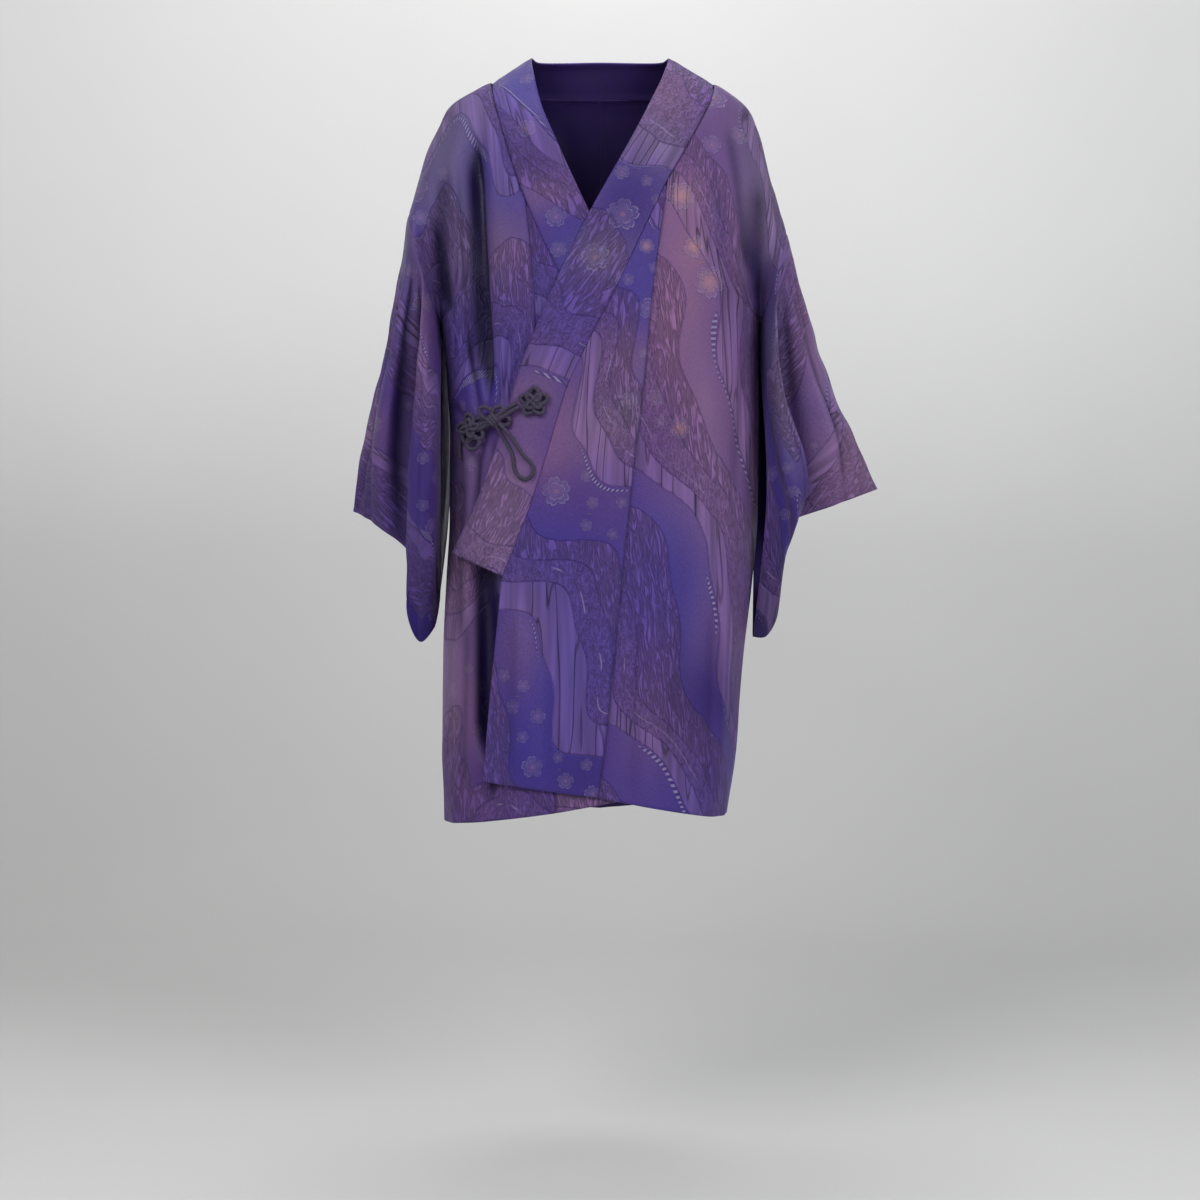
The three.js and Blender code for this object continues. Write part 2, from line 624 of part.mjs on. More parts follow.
// A tube of the cord's size along points, with closed ends.
function cordTube(points, steps, sides) {
  const section = new THREE.Shape();
  for (let k = 0; k < sides; k++) {
    const angle = (2 * Math.PI * k) / sides;
    const [x, y] = [(CORD / 2) * Math.cos(angle), (CORD / 2) * Math.sin(angle)];
    if (k === 0) section.moveTo(x, y);
    else section.lineTo(x, y);
  }
  const path = new THREE.CatmullRomCurve3(points, false, "centripetal");
  return new THREE.ExtrudeGeometry(section, { steps, bevelEnabled: false, extrudePath: path });
}

// Pieces drawn on the plane z = 0, turned to lie on the cloth at x, z.
function laidOn(pieces, x, z, lift) {
  const { point, normal } = onFront(x, z, lift);
  const up = new THREE.Vector3(0, 0, 1);
  const right = up.clone().cross(normal).normalize();
  const turn = new THREE.Matrix4().makeBasis(right, normal.clone().cross(right), normal);
  for (const piece of pieces) piece.applyMatrix4(turn).translate(point.x, point.y, point.z);
  return pieces;
}

const cordRing = (radius) => new THREE.TorusGeometry(radius, CORD / 2, KNOT_SIDES.section, KNOT_SIDES.ring);

// A flower knot: loops of cord round a button, in shares of its reach.
const PETAL = { radius: 0.36, out: 0.62 };
const BUTTON = { radius: 0.42, flat: 0.8, raised: 0.3 };

function flowerKnot({ x, z, petals, reach, turn, lift }) {
  const pieces = [];
  for (let k = 0; k < petals; k++) {
    const angle = turn + (2 * Math.PI * k) / petals;
    const loop = cordRing(reach * PETAL.radius);
    loop.translate(reach * PETAL.out * Math.cos(angle), reach * PETAL.out * Math.sin(angle), 0);
    pieces.push(loop);
  }
  const button = new THREE.SphereGeometry(reach * BUTTON.radius, ...KNOT_SIDES.ball);
  button.scale(1, 1, BUTTON.flat);
  button.translate(0, 0, CORD * BUTTON.raised);
  pieces.push(button);
  return laidOn(pieces, x, z, lift);
}

const BOW_WRAP = 6.5; // radius of the bow's middle
const BOW_RING = { radius: 6, narrow: 0.8 };

// The bow beside the front knot: a wrapped knot with two loops, and the link to the collar's knot.
function bowKnot({ x, z }) {
  const wrap = new THREE.SphereGeometry(BOW_WRAP, ...KNOT_SIDES.ball);
  const pieces = laidOn([wrap], x, z, COLLAR_LIFT);
  for (const { x: besideX, z: besideZ, long, lean } of BOW_LOOPS) {
    const loop = cordRing(BOW_RING.radius);
    loop.scale(long, BOW_RING.narrow, 1);
    loop.rotateZ(lean);
    pieces.push(...laidOn([loop], x + besideX, z + besideZ, COLLAR_LIFT + 1));
  }
  return pieces;
}

const cordOnFront = (route, steps, sides) =>
  cordTube(route.map(([x, z, out]) => onFront(x, z, out).point), steps, sides);

// ---- the coat ------------------------------------------------------------------------------
const coat = new THREE.Group();

function add(name, geometry, colour, roughness = 0.55) {
  const material = new THREE.MeshStandardMaterial({ color: colour, roughness, metalness: 0 });
  const mesh = new THREE.Mesh(geometry, material);
  mesh.name = name;
  coat.add(mesh);
}

add("body_right", body(RIGHT), 0x5f4b8e);
add("body_left", body(LEFT), 0x6c4f86);
add("okumi_right", okumi(RIGHT), 0x5a4690);
add("okumi_left", okumi(LEFT), 0x5b479c);
add("collar", collar(), 0x64548f);
add("sleeve_right", sleeve(RIGHT), 0x553b86);
add("sleeve_left", sleeve(LEFT), 0x6a4a84);

const CORD_COLOUR = 0x4b4458;
add("knot_collar", fuse(flowerKnot(COLLAR_KNOT)), CORD_COLOUR, 0.8);
const frontKnot = [
  ...flowerKnot(FRONT_KNOT),
  ...bowKnot(BOW),
  cordOnFront(LINK_ROUTE, 5, 6),
  cordOnFront(BRIDGE_ROUTE, 3, 6),
  cordOnFront(TAIL_ROUTE, 4, 6),
];
add("knot_front", fuse(frontKnot), CORD_COLOUR, 0.8);
add("tie_loop", cordOnFront(TIE_ROUTE, 26, 8), CORD_COLOUR, 0.8);

export default coat;
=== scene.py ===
"""Kimono coat (dochugi) in dyed silk jacquard crepe, tied at the side with an ornamental cord."""

import math

import bpy
import numpy as np
from bpy.props import FloatProperty, FloatVectorProperty, PointerProperty
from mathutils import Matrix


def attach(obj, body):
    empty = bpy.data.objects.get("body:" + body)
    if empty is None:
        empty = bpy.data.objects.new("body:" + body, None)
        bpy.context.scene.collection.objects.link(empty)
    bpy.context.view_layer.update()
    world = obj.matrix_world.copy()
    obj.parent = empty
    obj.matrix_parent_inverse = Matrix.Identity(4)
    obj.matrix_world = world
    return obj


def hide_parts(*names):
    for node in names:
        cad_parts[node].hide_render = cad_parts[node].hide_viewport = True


bl_info = {
    "name": "Kimono coat",
    "version": (1, 0, 0),
    "blender": (4, 5, 0),
    "location": "3D View > Sidebar > Kimono coat",
    "description": "Builds the looks of a hollow worn kimono coat around its solids",
    "category": "Object",
}

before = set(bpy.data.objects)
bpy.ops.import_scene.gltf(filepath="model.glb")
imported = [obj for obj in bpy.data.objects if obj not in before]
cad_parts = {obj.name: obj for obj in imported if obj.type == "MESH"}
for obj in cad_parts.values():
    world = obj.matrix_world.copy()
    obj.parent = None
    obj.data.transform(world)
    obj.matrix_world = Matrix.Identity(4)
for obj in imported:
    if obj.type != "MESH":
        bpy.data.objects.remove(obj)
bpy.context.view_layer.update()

MM = 0.001
RIGHT, LEFT = -1, 1
FRONT, BACK = -1, 1
SIDE_NAME = {RIGHT: "right", LEFT: "left"}


# ---- sizes and colours that a user would change ------------------------------------------------


def size_property(label, words, value, unit="LENGTH"):
    return FloatProperty(name=label, description=words, default=value, unit=unit)


def colour_property(label, words, value):
    return FloatVectorProperty(name=label, description=words, default=value, size=3, subtype="COLOR")


class CoatSizes(bpy.types.PropertyGroup):
    """Sizes of the cloth and the cords."""

    cloth_wall: size_property("Cloth", "Thickness of the lined cloth", 0.0012)
    collar_wall: size_property("Collar", "Thickness of the folded collar", 0.0026)
    grid_step: size_property("Grid", "Spacing of the cloth's points", 0.0035)
    crease_share: size_property("Creases", "Depth of the soft creases, 1 as worn", 1.0, "NONE")
    crepe_relief: size_property("Crepe relief", "Height of the crinkles", 0.0021)
    cord_diameter: size_property("Cord", "Diameter of the twisted cord", 0.0045)


class CoatColours(bpy.types.PropertyGroup):
    """Dyes of the silk, the lining and the cord."""

    violet: colour_property("Violet", "Blue-violet dye", (0.036, 0.024, 0.225))
    deep: colour_property("Deep purple", "Deep purple dye", (0.020, 0.007, 0.115))
    purple: colour_property("Purple", "Warm purple dye", (0.080, 0.030, 0.150))
    mauve: colour_property("Mauve", "Mauve dye", (0.170, 0.088, 0.180))
    pink: colour_property("Pink", "Pink-mauve dye", (0.225, 0.100, 0.185))
    grey: colour_property("Grey violet", "Grey-violet dye", (0.122, 0.096, 0.150))
    lilac: colour_property("Lilac", "Pale lilac threads", (0.31, 0.26, 0.46))
    coral: colour_property("Coral", "Coral of the dyed blossoms", (0.40, 0.19, 0.17))
    lining: colour_property("Lining", "Dark lining", (0.022, 0.012, 0.060))
    cord: colour_property("Cord", "Charcoal violet cord", (0.030, 0.025, 0.055))


# ---- the form, in millimetres, as the solids have it -------------------------------------------

# height, half-width right, half-width left, depth in front, depth behind
BODY_SECTIONS = [
    (30, 40, 40, 16, 60), (0, 84, 85, 30, 76), (-29, 128, 132, 46, 96), (-57, 177, 174, 60, 106),
    (-85, 194, 188, 75, 113), (-126, 211, 199, 91, 121), (-190, 226, 215, 107, 127),
    (-250, 210, 212, 113, 129), (-322, 191, 191, 117, 130), (-440, 181, 191, 117, 128),
    (-555, 181, 189, 119, 129), (-640, 185, 182, 121, 132), (-720, 188, 172, 124, 135),
    (-830, 189, 163, 126, 138), (-930, 186, 148, 128, 140),
]
# distance from the middle and height along each shoulder line
SHOULDER = {
    RIGHT: [(84, 0), (128, -29), (177, -57), (194, -85), (211, -126), (229, -190)],
    LEFT: [(84, 0), (132, -29), (174, -57), (188, -85), (205, -145), (223, -213)],
}
# middle, half-axes outwards and upwards, and depth of the sleeve seam
ARMHOLE = {
    RIGHT: {"x": 210, "z": -256, "out": 19, "up": 66, "depth": 82},
    LEFT: {"x": 207, "z": -267.5, "out": 16, "up": 54.5, "depth": 82},
}
# outer x, outer z, inner x, inner z, over front (1) or under, then the depths where it stands free
COLLAR_STATIONS = [
    (84, -625, 144, -598, 0), (55, -552, 113, -536, 0), (32, -482, 89, -467, 0), (8, -407, 63, -390, 0),
    (-36, -300, 17, -274, 0), (-65, -240, -13, -209, 0), (-86, -190, -35, -160, 0),
    (-100, -149, -52, -119, 0), (-114, -102, -68, -78, 0), (-124, -62, -78, -36, 0),
    (-129, -30, -83, 1, 0, 0, 2), (-111, -25, -76, 9, 0, 53, 40), (-70, -24, -51, 16, 0, 83, 64),
    (0, -22, 0, 20, 0, 92, 74), (70, -24, 51, 16, 0, 83, 64), (112, -25, 76, 9, 0, 53, 40),
    (135, -31, 83, 1, 0, 0, 2), (130, -62, 76, -30, 1), (114, -98, 63, -62, 1), (96, -134, 46, -100, 1),
    (78, -168, 27, -138, 1), (61, -205, 8, -174, 1), (43, -243, -12, -212, 1), (15, -303, -41, -272, 1),
    (-12, -355, -68, -332, 1), (-38, -410, -92, -392, 1), (-60, -482, -114, -464, 1),
    (-83, -552, -139, -533, 1), (-112, -625, -172, -598, 1),
]
NECK = {RIGHT: 10, LEFT: 16}
NAPE_STATION = 13
OKUMI_STATION = {RIGHT: 6, LEFT: 20}
COLLAR_END = {RIGHT: 0, LEFT: 28}
# stations from the nape over which the collar leaves its own line and lies on the fronts
COLLAR_LANDS = (3.4, 4.4)
# height and x of each okumi's seam and free edge
OKUMI_SEAM = {
    RIGHT: [(-190, -86), (-270, -78), (-348, -73), (-520, -66), (-700, -58), (-895, -50)],
    LEFT: [
        (-168, 78), (-215, 72), (-285, 62), (-407, 50), (-488, 40),
        (-601, 28), (-691, 19), (-818, 6), (-877, -2),
    ],
}
FREE_EDGE = {
    RIGHT: [(-625, 84), (-704, 92), (-776, 99), (-866, 106)],
    LEFT: [(-625, -112), (-704, -120), (-776, -127), (-861, -134)],
}
# height of each body's hem at its side seam and at its inner edge
HEM = {RIGHT: (-916, -922), LEFT: (-908, -922)}
# folds of each piece's face: x and z where the fold starts and ends, half-width, depth
FOLDS = {
    (RIGHT, FRONT): [
        (-148, -85, -134, -425, 13, 19), (-186, -140, -184, -318, 12, 12),
        (-134, -560, -128, -850, 16, 22),
    ],
    (LEFT, FRONT): [
        (188, -150, 184, -318, 12, 14), (134, -330, 118, -820, 24, -5), (-92, -650, -84, -872, 14, -5),
    ],
    (RIGHT, BACK): [
        (-150, -130, -128, -520, 20, 14), (-70, -420, -78, -930, 24, 8),
    ],
    (LEFT, BACK): [
        (148, -130, 130, -480, 20, 14), (84, -480, 76, -930, 26, 9),
    ],
}
# creases that only the cloth's surface has, with the same columns
CREASES = {
    (RIGHT, FRONT): [
        (-146, -96, -125, -432, 4.5, 8.0), (-168, -110, -152, -420, 6, 3.4),
        (-196, -200, -176, -330, 6, 5.0), (-104, -330, -116, -440, 4, 3.6),
        (-90, -350, -110, -440, 3.5, 3.0), (-132, -290, -130, -440, 4, 3.2),
        (-156, -330, -140, -445, 5, 4.0), (-174, -420, -152, -452, 5, 3.6),
        (-140, -466, -150, -610, 6, 6.0), (-124, -462, -116, -560, 4, 4.0),
        (-162, -470, -168, -720, 7, 4.4), (-128, -610, -124, -915, 9, 7.0),
        (-156, -640, -162, -900, 8, 4.0), (-176, -480, -176, -880, 6, 2.6),
    ],
    (LEFT, FRONT): [
        (150, -70, 176, -290, 9, 4.8), (124, -90, 156, -350, 9, 3.0), (172, -340, 150, -600, 8, 3.6),
        (152, -440, 136, -880, 10, -3.0), (96, -560, 72, -905, 11, 3.0), (66, -320, 86, -540, 13, -2.0),
        (44, -640, 34, -905, 7, 2.6), (132, -640, 124, -905, 7, 3.4), (-20, -520, -28, -860, 12, 2.6),
        (-56, -600, -64, -870, 8, 2.8), (-90, -640, -96, -872, 7, -2.2),
    ],
    (RIGHT, BACK): [
        (-112, -60, -96, -420, 12, 4.0), (-176, -180, -168, -430, 9, 5.0),
        (-36, -300, -42, -900, 13, 3.2), (-120, -500, -124, -915, 12, 4.6),
    ],
    (LEFT, BACK): [
        (112, -60, 100, -400, 12, 4.0), (174, -190, 166, -440, 9, 5.0), (40, -340, 36, -900, 13, 3.2),
        (116, -520, 110, -915, 12, 4.6),
    ],
}
# cloth from the shoulder fold, then outwards, forwards and height at four places down each line;
# the first place is left out where the line starts on the sleeve seam
SLEEVE_LINES = {
    RIGHT: [
        (0, None, (261, 0, -363), (281, 0, -455), (298, 0, -546)),
        (77, None, (243, 72, -375), (259, 68, -474), (258, 56, -569)),
        (121, None, (204, 60, -385), (208, 58, -492), (219, 56, -606)),
        (140, None, (211, 96, -392), (221, 97, -520), (229, 42, -664)),
        (179, None, (199, 108, -420), (206, 104, -560), (219, 3, -703)),
        (230, None, (187, 94, -440), (193, 84, -572), (203, 2, -690)),
        (350, (194, 24, -440), (189, 44, -500), (194, 40, -600), (197, 1.4, -672)),
        (490, (194, 1.3, -560), (193, 1.3, -590), (193, 1.3, -620), (194, 1.3, -650)),
    ],
    LEFT: [
        (0, None, (272, 0, -377), (303, 0, -449), (335, 0, -519)),
        (77, None, (253, 66, -390), (279, 62, -462), (290, 50, -536)),
        (121, None, (208, 58, -398), (216, 58, -478), (232, 56, -557)),
        (140, None, (210, 96, -405), (238, 97, -505), (226, 46, -576)),
        (179, None, (206, 101, -430), (233, 101, -527), (222, 42, -588)),
        (230, None, (203, 96, -470), (227, 97, -551), (219, 38, -598)),
        (350, (194, 78, -526), (208, 90, -550), (217, 74, -590), (218, 33, -610)),
        (490, (183, 22, -697), (199, 24, -696), (211, 26, -672), (216, 28, -630)),
    ],
}
# the back is shallower than the front, but for places near the middle plane
BACK_DEPTH = 0.9
NEAR_MIDDLE = 5
LAYERS_SEWN = 2.6
# cloth from the fold (+ front, - back) and share down the sleeve at both ends, half-width, depth
SLEEVE_CREASES = {
    RIGHT: [
        (30, 0.02, 52, 0.88, 8, 5.5), (64, 0.08, 22, 0.98, 7, 4.5), (4, 0.10, 34, 0.80, 6, 3.6),
        (-30, 0.02, -50, 0.88, 8, 5.2), (-64, 0.12, -26, 0.98, 8, 4.2), (8, 0.35, 12, 1.0, 7, -2.4),
        (90, 0.03, 100, 0.95, 9, 8.5), (116, 0.05, 128, 0.90, 6, 4.0), (-92, 0.03, -104, 0.95, 7, 4.4),
        (160, 0.10, 176, 0.90, 8, 3.4), (-160, 0.10, -176, 0.90, 8, 3.4),
    ],
    LEFT: [
        (26, 0.02, 18, 0.9, 8, 4.8), (60, 0.03, 74, 0.95, 8, 6.4), (88, 0.02, 46, 0.90, 6, 4.0),
        (-24, 0.02, -18, 0.9, 8, 4.8), (-54, 0.06, -64, 0.95, 8, 4.4), (104, 0.05, 110, 0.95, 6, 3.8),
        (-96, 0.05, -104, 0.95, 7, 3.8), (156, 0.15, 168, 0.90, 8, 3.6), (-156, 0.20, -168, 0.90, 8, 3.4),
    ],
}
LAYER = 4.4
ROUNDNESS = 2.5
ARMPIT = -322
ARMHOLE_SHARE = 0.33
CROWN_SHARE = 0.26
NAPE_SHARE = 0.134
OKUMI_TOP = {RIGHT: 0.28, LEFT: 0.25}
OKUMI_START = 0.022
ALONG_COLLAR = 0.68
ARMHOLE_CLOTH = 230
ARMHOLE_BLEND = 0.68
CROWDING = (1.1, 2.3)
SLEEVE_RUN = (0.27, 0.96)
SEAM_GAP = 0.3
NECK_GAP = 1.2
NAPE_GAP = -1.6
SLEEVE_GAP = {"shoulder": 0.1, "armpit": 0.7}
SEAM_EASE = 60
NO_GAP = {"shoulder": 0, "armpit": 0}

# lengths of cloth that the grids' rows and columns are spread over
BODY_ACROSS = 262
BODY_DOWN = {FRONT: 925, BACK: 945}
OKUMI_ACROSS, OKUMI_DOWN = 208, 700
COLLAR_RUN, COLLAR_COLUMNS = 1560, 19
SLEEVE_ROUND, SLEEVE_DOWN = 1120, 345
# seed and height of the broad waves in each kind of piece
WAVES = {"body": (11, 1.9), "okumi": (31, 0.7), "collar": (51, 0.8), "sleeve": (71, 1.8)}
# depth and half-width of the dent along a seam, and half-width of the painted shade along it
SEAM_DENT, SEAM_DENT_WIDTH, SEAM_SHADE_WIDTH = 0.9, 2.2, 2.4
SLEEVE_SEAM_DENT = 0.8
# height of the ripple along a hem, share down the body where it starts, and its two pitches
HEM_RIPPLE, HEM_START = 0.8, 0.94
HEM_PITCHES = (9, 31)
COLLAR_PADDING = 1.0
# how far inside its edge, and over which heights, the over front comes away from the under front
OVER_EDGE = (32, 4)
OVER_RISE = (110, 190)
# share down a fold by which it is full, and from which it fades
FOLD_FADE = (0.25, 0.8)
# points of a row before they are spread evenly
ROW_DETAIL = 200
# cloth beside a seam that has no waves or creases
FLAT_INNER, FLAT_OUTER, FLAT_OKUMI = 12, 14, 10
# the right front lies flatter from this x and share down on, where the left one covers it
COVERED_X, COVERED_SHARE, COVERED_CALM = -150, 0.4, 0.5
# how much darker the painted shade of a crease is than that of a fold of the same depth, on a body and on a
# sleeve
BODY_CREASE_SHADE, SLEEVE_CREASE_SHADE = 2.3, 1.9
# depths of a fold at which its painted shade starts and is full, and that painted shade
HOLLOW_DEPTHS = (2.5, 20)
HOLLOW_SHADE = 0.95
# cloth from the fold over which a sleeve turns into its bag, and the bag's share of the waves
BAG_TURN = (110, 190)
BAG_CALM = 0.35
# share down a sleeve over which the waves start
SLEEVE_CALM = 0.06
# cloth from the fold of the painted shade under the lobe, at the seam and at the cuff, and its half-width
UNDER_LOBE = (112, 118)
UNDER_LOBE_HALF = 15


def lerp(a, b, t):
    return a + (b - a) * t


def clamp01(value):
    return np.clip(value, 0.0, 1.0)


def smooth(value, low, high):
    t = clamp01((value - low) / (high - low))
    return t * t * (3 - 2 * t)


def bell(off, width):
    """1 where off is 0, falling away smoothly on both sides."""
    return np.exp(-((off / width) ** 2))


def smooth_table(rows, at, column=1):
    """Smooth value of a column of a table, at values of its first column."""
    rows = np.array(sorted(rows), float)
    x, y = rows[:, 0], rows[:, column]
    order = np.arange(len(x))
    before, after = np.maximum(order - 1, 0), np.minimum(order + 1, len(x) - 1)
    slope = (y[after] - y[before]) / (x[after] - x[before])
    at = np.clip(at, x[0], x[-1])
    i = np.clip(np.searchsorted(x, at, side="right") - 1, 0, len(x) - 2)
    span = x[i + 1] - x[i]
    t = (at - x[i]) / span
    start = (2 * t**3 - 3 * t**2 + 1) * y[i] + (t**3 - 2 * t**2 + t) * span * slope[i]
    return start + (3 * t**2 - 2 * t**3) * y[i + 1] + (t**3 - t**2) * span * slope[i + 1]


def through(points, t):
    """Points at t (0 to 1) on a smooth curve through points."""
    points = np.asarray(points, float)
    last = len(points) - 1
    at = clamp01(np.atleast_1d(t)) * last
    i = np.minimum(np.floor(at).astype(int), last - 1)
    f = (at - i).reshape(-1, *[1] * (points.ndim - 1))
    a, b, c, d = (points[np.clip(i + k, 0, last)] for k in (-1, 0, 1, 2))
    near = 2 * b + (c - a) * f + (2 * a - 5 * b + 4 * c - d) * f**2
    return 0.5 * (near + (3 * b - a - 3 * c + d) * f**3)


def half_width(x, z):
    right, left = (smooth_table(BODY_SECTIONS, z, column) for column in (1, 2))
    return np.where(np.asarray(x) < 0, right, left)


def cloth_depth(face, x, z, out=0.0):
    """Depth of the cloth from the middle plane, with the section grown by out."""
    across = clamp01(np.abs(x) / (half_width(x, z) + out))
    deep = smooth_table(BODY_SECTIONS, z, 3 if face == FRONT else 4) + out
    return deep * (1 - across**ROUNDNESS) ** (1 / ROUNDNESS)


def over_lift(x, z):
    """How far the over front stands outside the under front."""
    edge = smooth_table(BODY_SECTIONS, z, 2)
    start, end = OVER_EDGE
    return LAYER * (1 - smooth(x, edge - start, edge - end)) * smooth(-z, *OVER_RISE)


def pressed(table, piece, face, x, z):
    """Depth of the folds of a table at x, z."""
    depth = np.zeros(np.broadcast(x, z).shape)
    for x0, z0, x1, z1, width, deep in table[piece, face]:
        along = (z0 - z) / (z0 - z1)
        fade = smooth(along, 0, FOLD_FADE[0]) * (1 - smooth(along, FOLD_FADE[1], 1))
        depth += deep * fade * bell(x - lerp(x0, x1, clamp01(along)), width)
    return depth


def cloth_points(piece, face, x, z):
    """Points of a front or back at x, z. The piece is the side whose cloth it is."""
    out = over_lift(x, z) if piece == LEFT and face == FRONT else 0.0
    depth = cloth_depth(face, x, z, out) - pressed(FOLDS, piece, face, x, z)
    return np.stack([np.broadcast_to(x, depth.shape), face * depth, np.broadcast_to(z, depth.shape)], -1)


def seam_point(side, face, angle, gap=NO_GAP):
    """The sleeve seam at angle 0 (shoulder line) to pi (armpit)."""
    hole = ARMHOLE[side]
    turned = float(smooth(angle, 0, 1))
    x = hole["x"] + hole["out"] * math.cos(angle)
    x += lerp(gap["shoulder"] * SLEEVE_RUN[0], gap["armpit"], turned)
    z = hole["z"] + hole["up"] * math.cos(angle) - lerp(gap["shoulder"] * SLEEVE_RUN[1], 0, turned)
    return np.array([side * x, face * hole["depth"] * math.sin(angle), z])


def collar_line(edge):
    points = []
    for row in COLLAR_STATIONS:
        x, z = row[0:2] if edge == "outer" else row[2:4]
        out = float(over_lift(x, z)) if row[4] else 0.0
        y = -float(cloth_depth(FRONT, x, z, out))
        if len(row) > 5:
            y = row[5] if edge == "outer" else row[6]
        points.append((x, y, z))
    return np.array(points, float)


COLLAR_LINES = {edge: collar_line(edge) for edge in ("outer", "inner")}


def collar_edge(edge, station):
    line = COLLAR_LINES[edge]
    return through(line, np.asarray(station) / (len(line) - 1))


def beside_collar(side, face, station):
    """The collar seam on the body's side of the gap."""
    edge = collar_edge("outer", station)[0]
    away = float(smooth(abs(station - NECK[side]), 0, 1))
    along = (collar_edge("outer", station + 0.1) - collar_edge("outer", station - 0.1))[0]
    along[1] = 0
    along /= np.linalg.norm(along)
    beside = np.array([-along[2], 0, along[0]]) if face == FRONT else np.array([0.0, 0, -1])
    gap = NECK_GAP if face == FRONT else lerp(NECK_GAP, NAPE_GAP, away)
    return edge + gap * lerp(np.array([side, 0.0, 0]), beside, away)


def body_inner_edge(side, face, w):
    """Inner edge of a body, from w = 0 (shoulder line) to 1 (hem), as x and z."""
    if face == BACK:
        if w < NAPE_SHARE:
            edge = beside_collar(side, BACK, lerp(NECK[side], NAPE_STATION, w / NAPE_SHARE))
            return edge[0], edge[2]
        top = beside_collar(side, BACK, NAPE_STATION)[2]
        return side * SEAM_GAP / 2, lerp(top, HEM[side][1], (w - NAPE_SHARE) / (1 - NAPE_SHARE))
    top = OKUMI_TOP[side]
    if w <= top:
        edge = beside_collar(side, FRONT, lerp(NECK[side], OKUMI_STATION[side], w / top))
        return edge[0], edge[2]
    seam = OKUMI_SEAM[side]
    z = lerp(seam[0][0], seam[-1][0], (w - top) / (1 - top))
    return float(smooth_table(seam, z)) + side * SEAM_GAP / 2, z


def body_row(side, face, w, t):
    """One row of points of a body, with t from 0 at its inner edge to 1 at its outer edge."""
    start_x, start_z = body_inner_edge(side, face, w)
    on_armhole = w < ARMHOLE_SHARE
    side_z = lerp(ARMPIT, HEM[side][0], (w - ARMHOLE_SHARE) / (1 - ARMHOLE_SHARE))
    if on_armhole:
        end = seam_point(side, face, math.pi * w / ARMHOLE_SHARE)
    else:
        end = np.array([side * float(half_width(side, side_z)), 0.0, side_z])
    share = 1 - (1 - t) ** lerp(*CROWDING, clamp01(w / ARMHOLE_SHARE))
    x = lerp(start_x, end[0], share)
    shoulder = SHOULDER[side]
    outer_x, outer_z = side * shoulder[-1][0], shoulder[-1][1]
    neck = beside_collar(side, FRONT, NECK[side])
    across = clamp01((x - neck[0]) / (outer_x - neck[0]))
    line_x = np.abs(lerp(neck[0], outer_x, across))
    rise = smooth_table(shoulder, line_x) - lerp(neck[2], outer_z, across)
    crown = math.cos(math.pi / 2 * min(1.0, w / CROWN_SHARE)) ** 2
    points = cloth_points(side, face, x, lerp(start_z, end[2], share) + crown * rise)
    if w == 0:
        points[:, 1] = 0
    if on_armhole:
        to_seam = smooth(t, ARMHOLE_BLEND, 1)
        points[:, 1] = lerp(points[:, 1], end[1], to_seam)
        points[:, 2] += (end[2] - points[-1, 2]) * to_seam
    else:
        points[:, 1] += face * SEAM_GAP * smooth(t, 0.9, 1)
    return points


# ---- cloth laid out as grids of points ---------------------------------------------------------


def lengths(points, axis):
    """Distance along a grid's rows or columns from its first point."""
    step = np.linalg.norm(np.diff(points, axis=axis), axis=-1)
    start = np.zeros_like(np.take(step, [0], axis=axis))
    return np.concatenate([start, np.cumsum(step, axis=axis)], axis=axis)


def from_edges(grid):
    """Distance of each point from its row's first and last points."""
    return lengths(grid, 1), lengths(grid[:, ::-1], 1)[:, ::-1]


def evened(row, count):
    """A row of points again, with count points at even distances."""
    along = lengths(row, 0)
    at = np.linspace(0, along[-1], count)
    return np.stack([np.interp(at, along, row[:, k]) for k in range(3)], -1)


def outward(grid, away):
    """Unit normals of a grid of points, on the side that "away" points to."""
    normal = np.cross(np.gradient(grid, axis=1), np.gradient(grid, axis=0))
    normal /= np.maximum(np.linalg.norm(normal, axis=-1, keepdims=True), 1e-9)
    return normal * (1 if (normal * away).sum() > 0 else -1)


def cloth_grid(grid, away, push, u, v, painted_shading):
    """A piece's laid-out cloth: its points pushed out of the plain form, where they lie flat, and the shade
    painted on them.
    """
    points = grid + outward(grid, away) * push[..., None]
    return {"points": points, "away": away, "u": u, "v": v, "painted_shading": painted_shading}


def broad_waves(kind, side, u, v):
    """Broad shallow waves, as cloth has that isn't pulled flat."""
    seed, height = WAVES[kind]
    draw = np.random.default_rng(seed + side)
    total = np.zeros_like(u)
    for _ in range(7):
        angle, size, phase = draw.uniform(-0.5, 0.5), draw.uniform(38, 120), draw.uniform(0, 6.28)
        bend = 0.6 * np.sin(v / draw.uniform(90, 160) + draw.uniform(0, 6.28))
        total += np.sin((u * math.cos(angle) + v * math.sin(angle)) * 6.28 / size + phase + bend)
    return height * total / 7


def in_hollow(depth):
    """Share of the light that reaches the bottom of a fold of that depth, painted into the cloth's colour as
    shade.
    """
    return 1 - HOLLOW_SHADE * smooth(depth, *HOLLOW_DEPTHS)


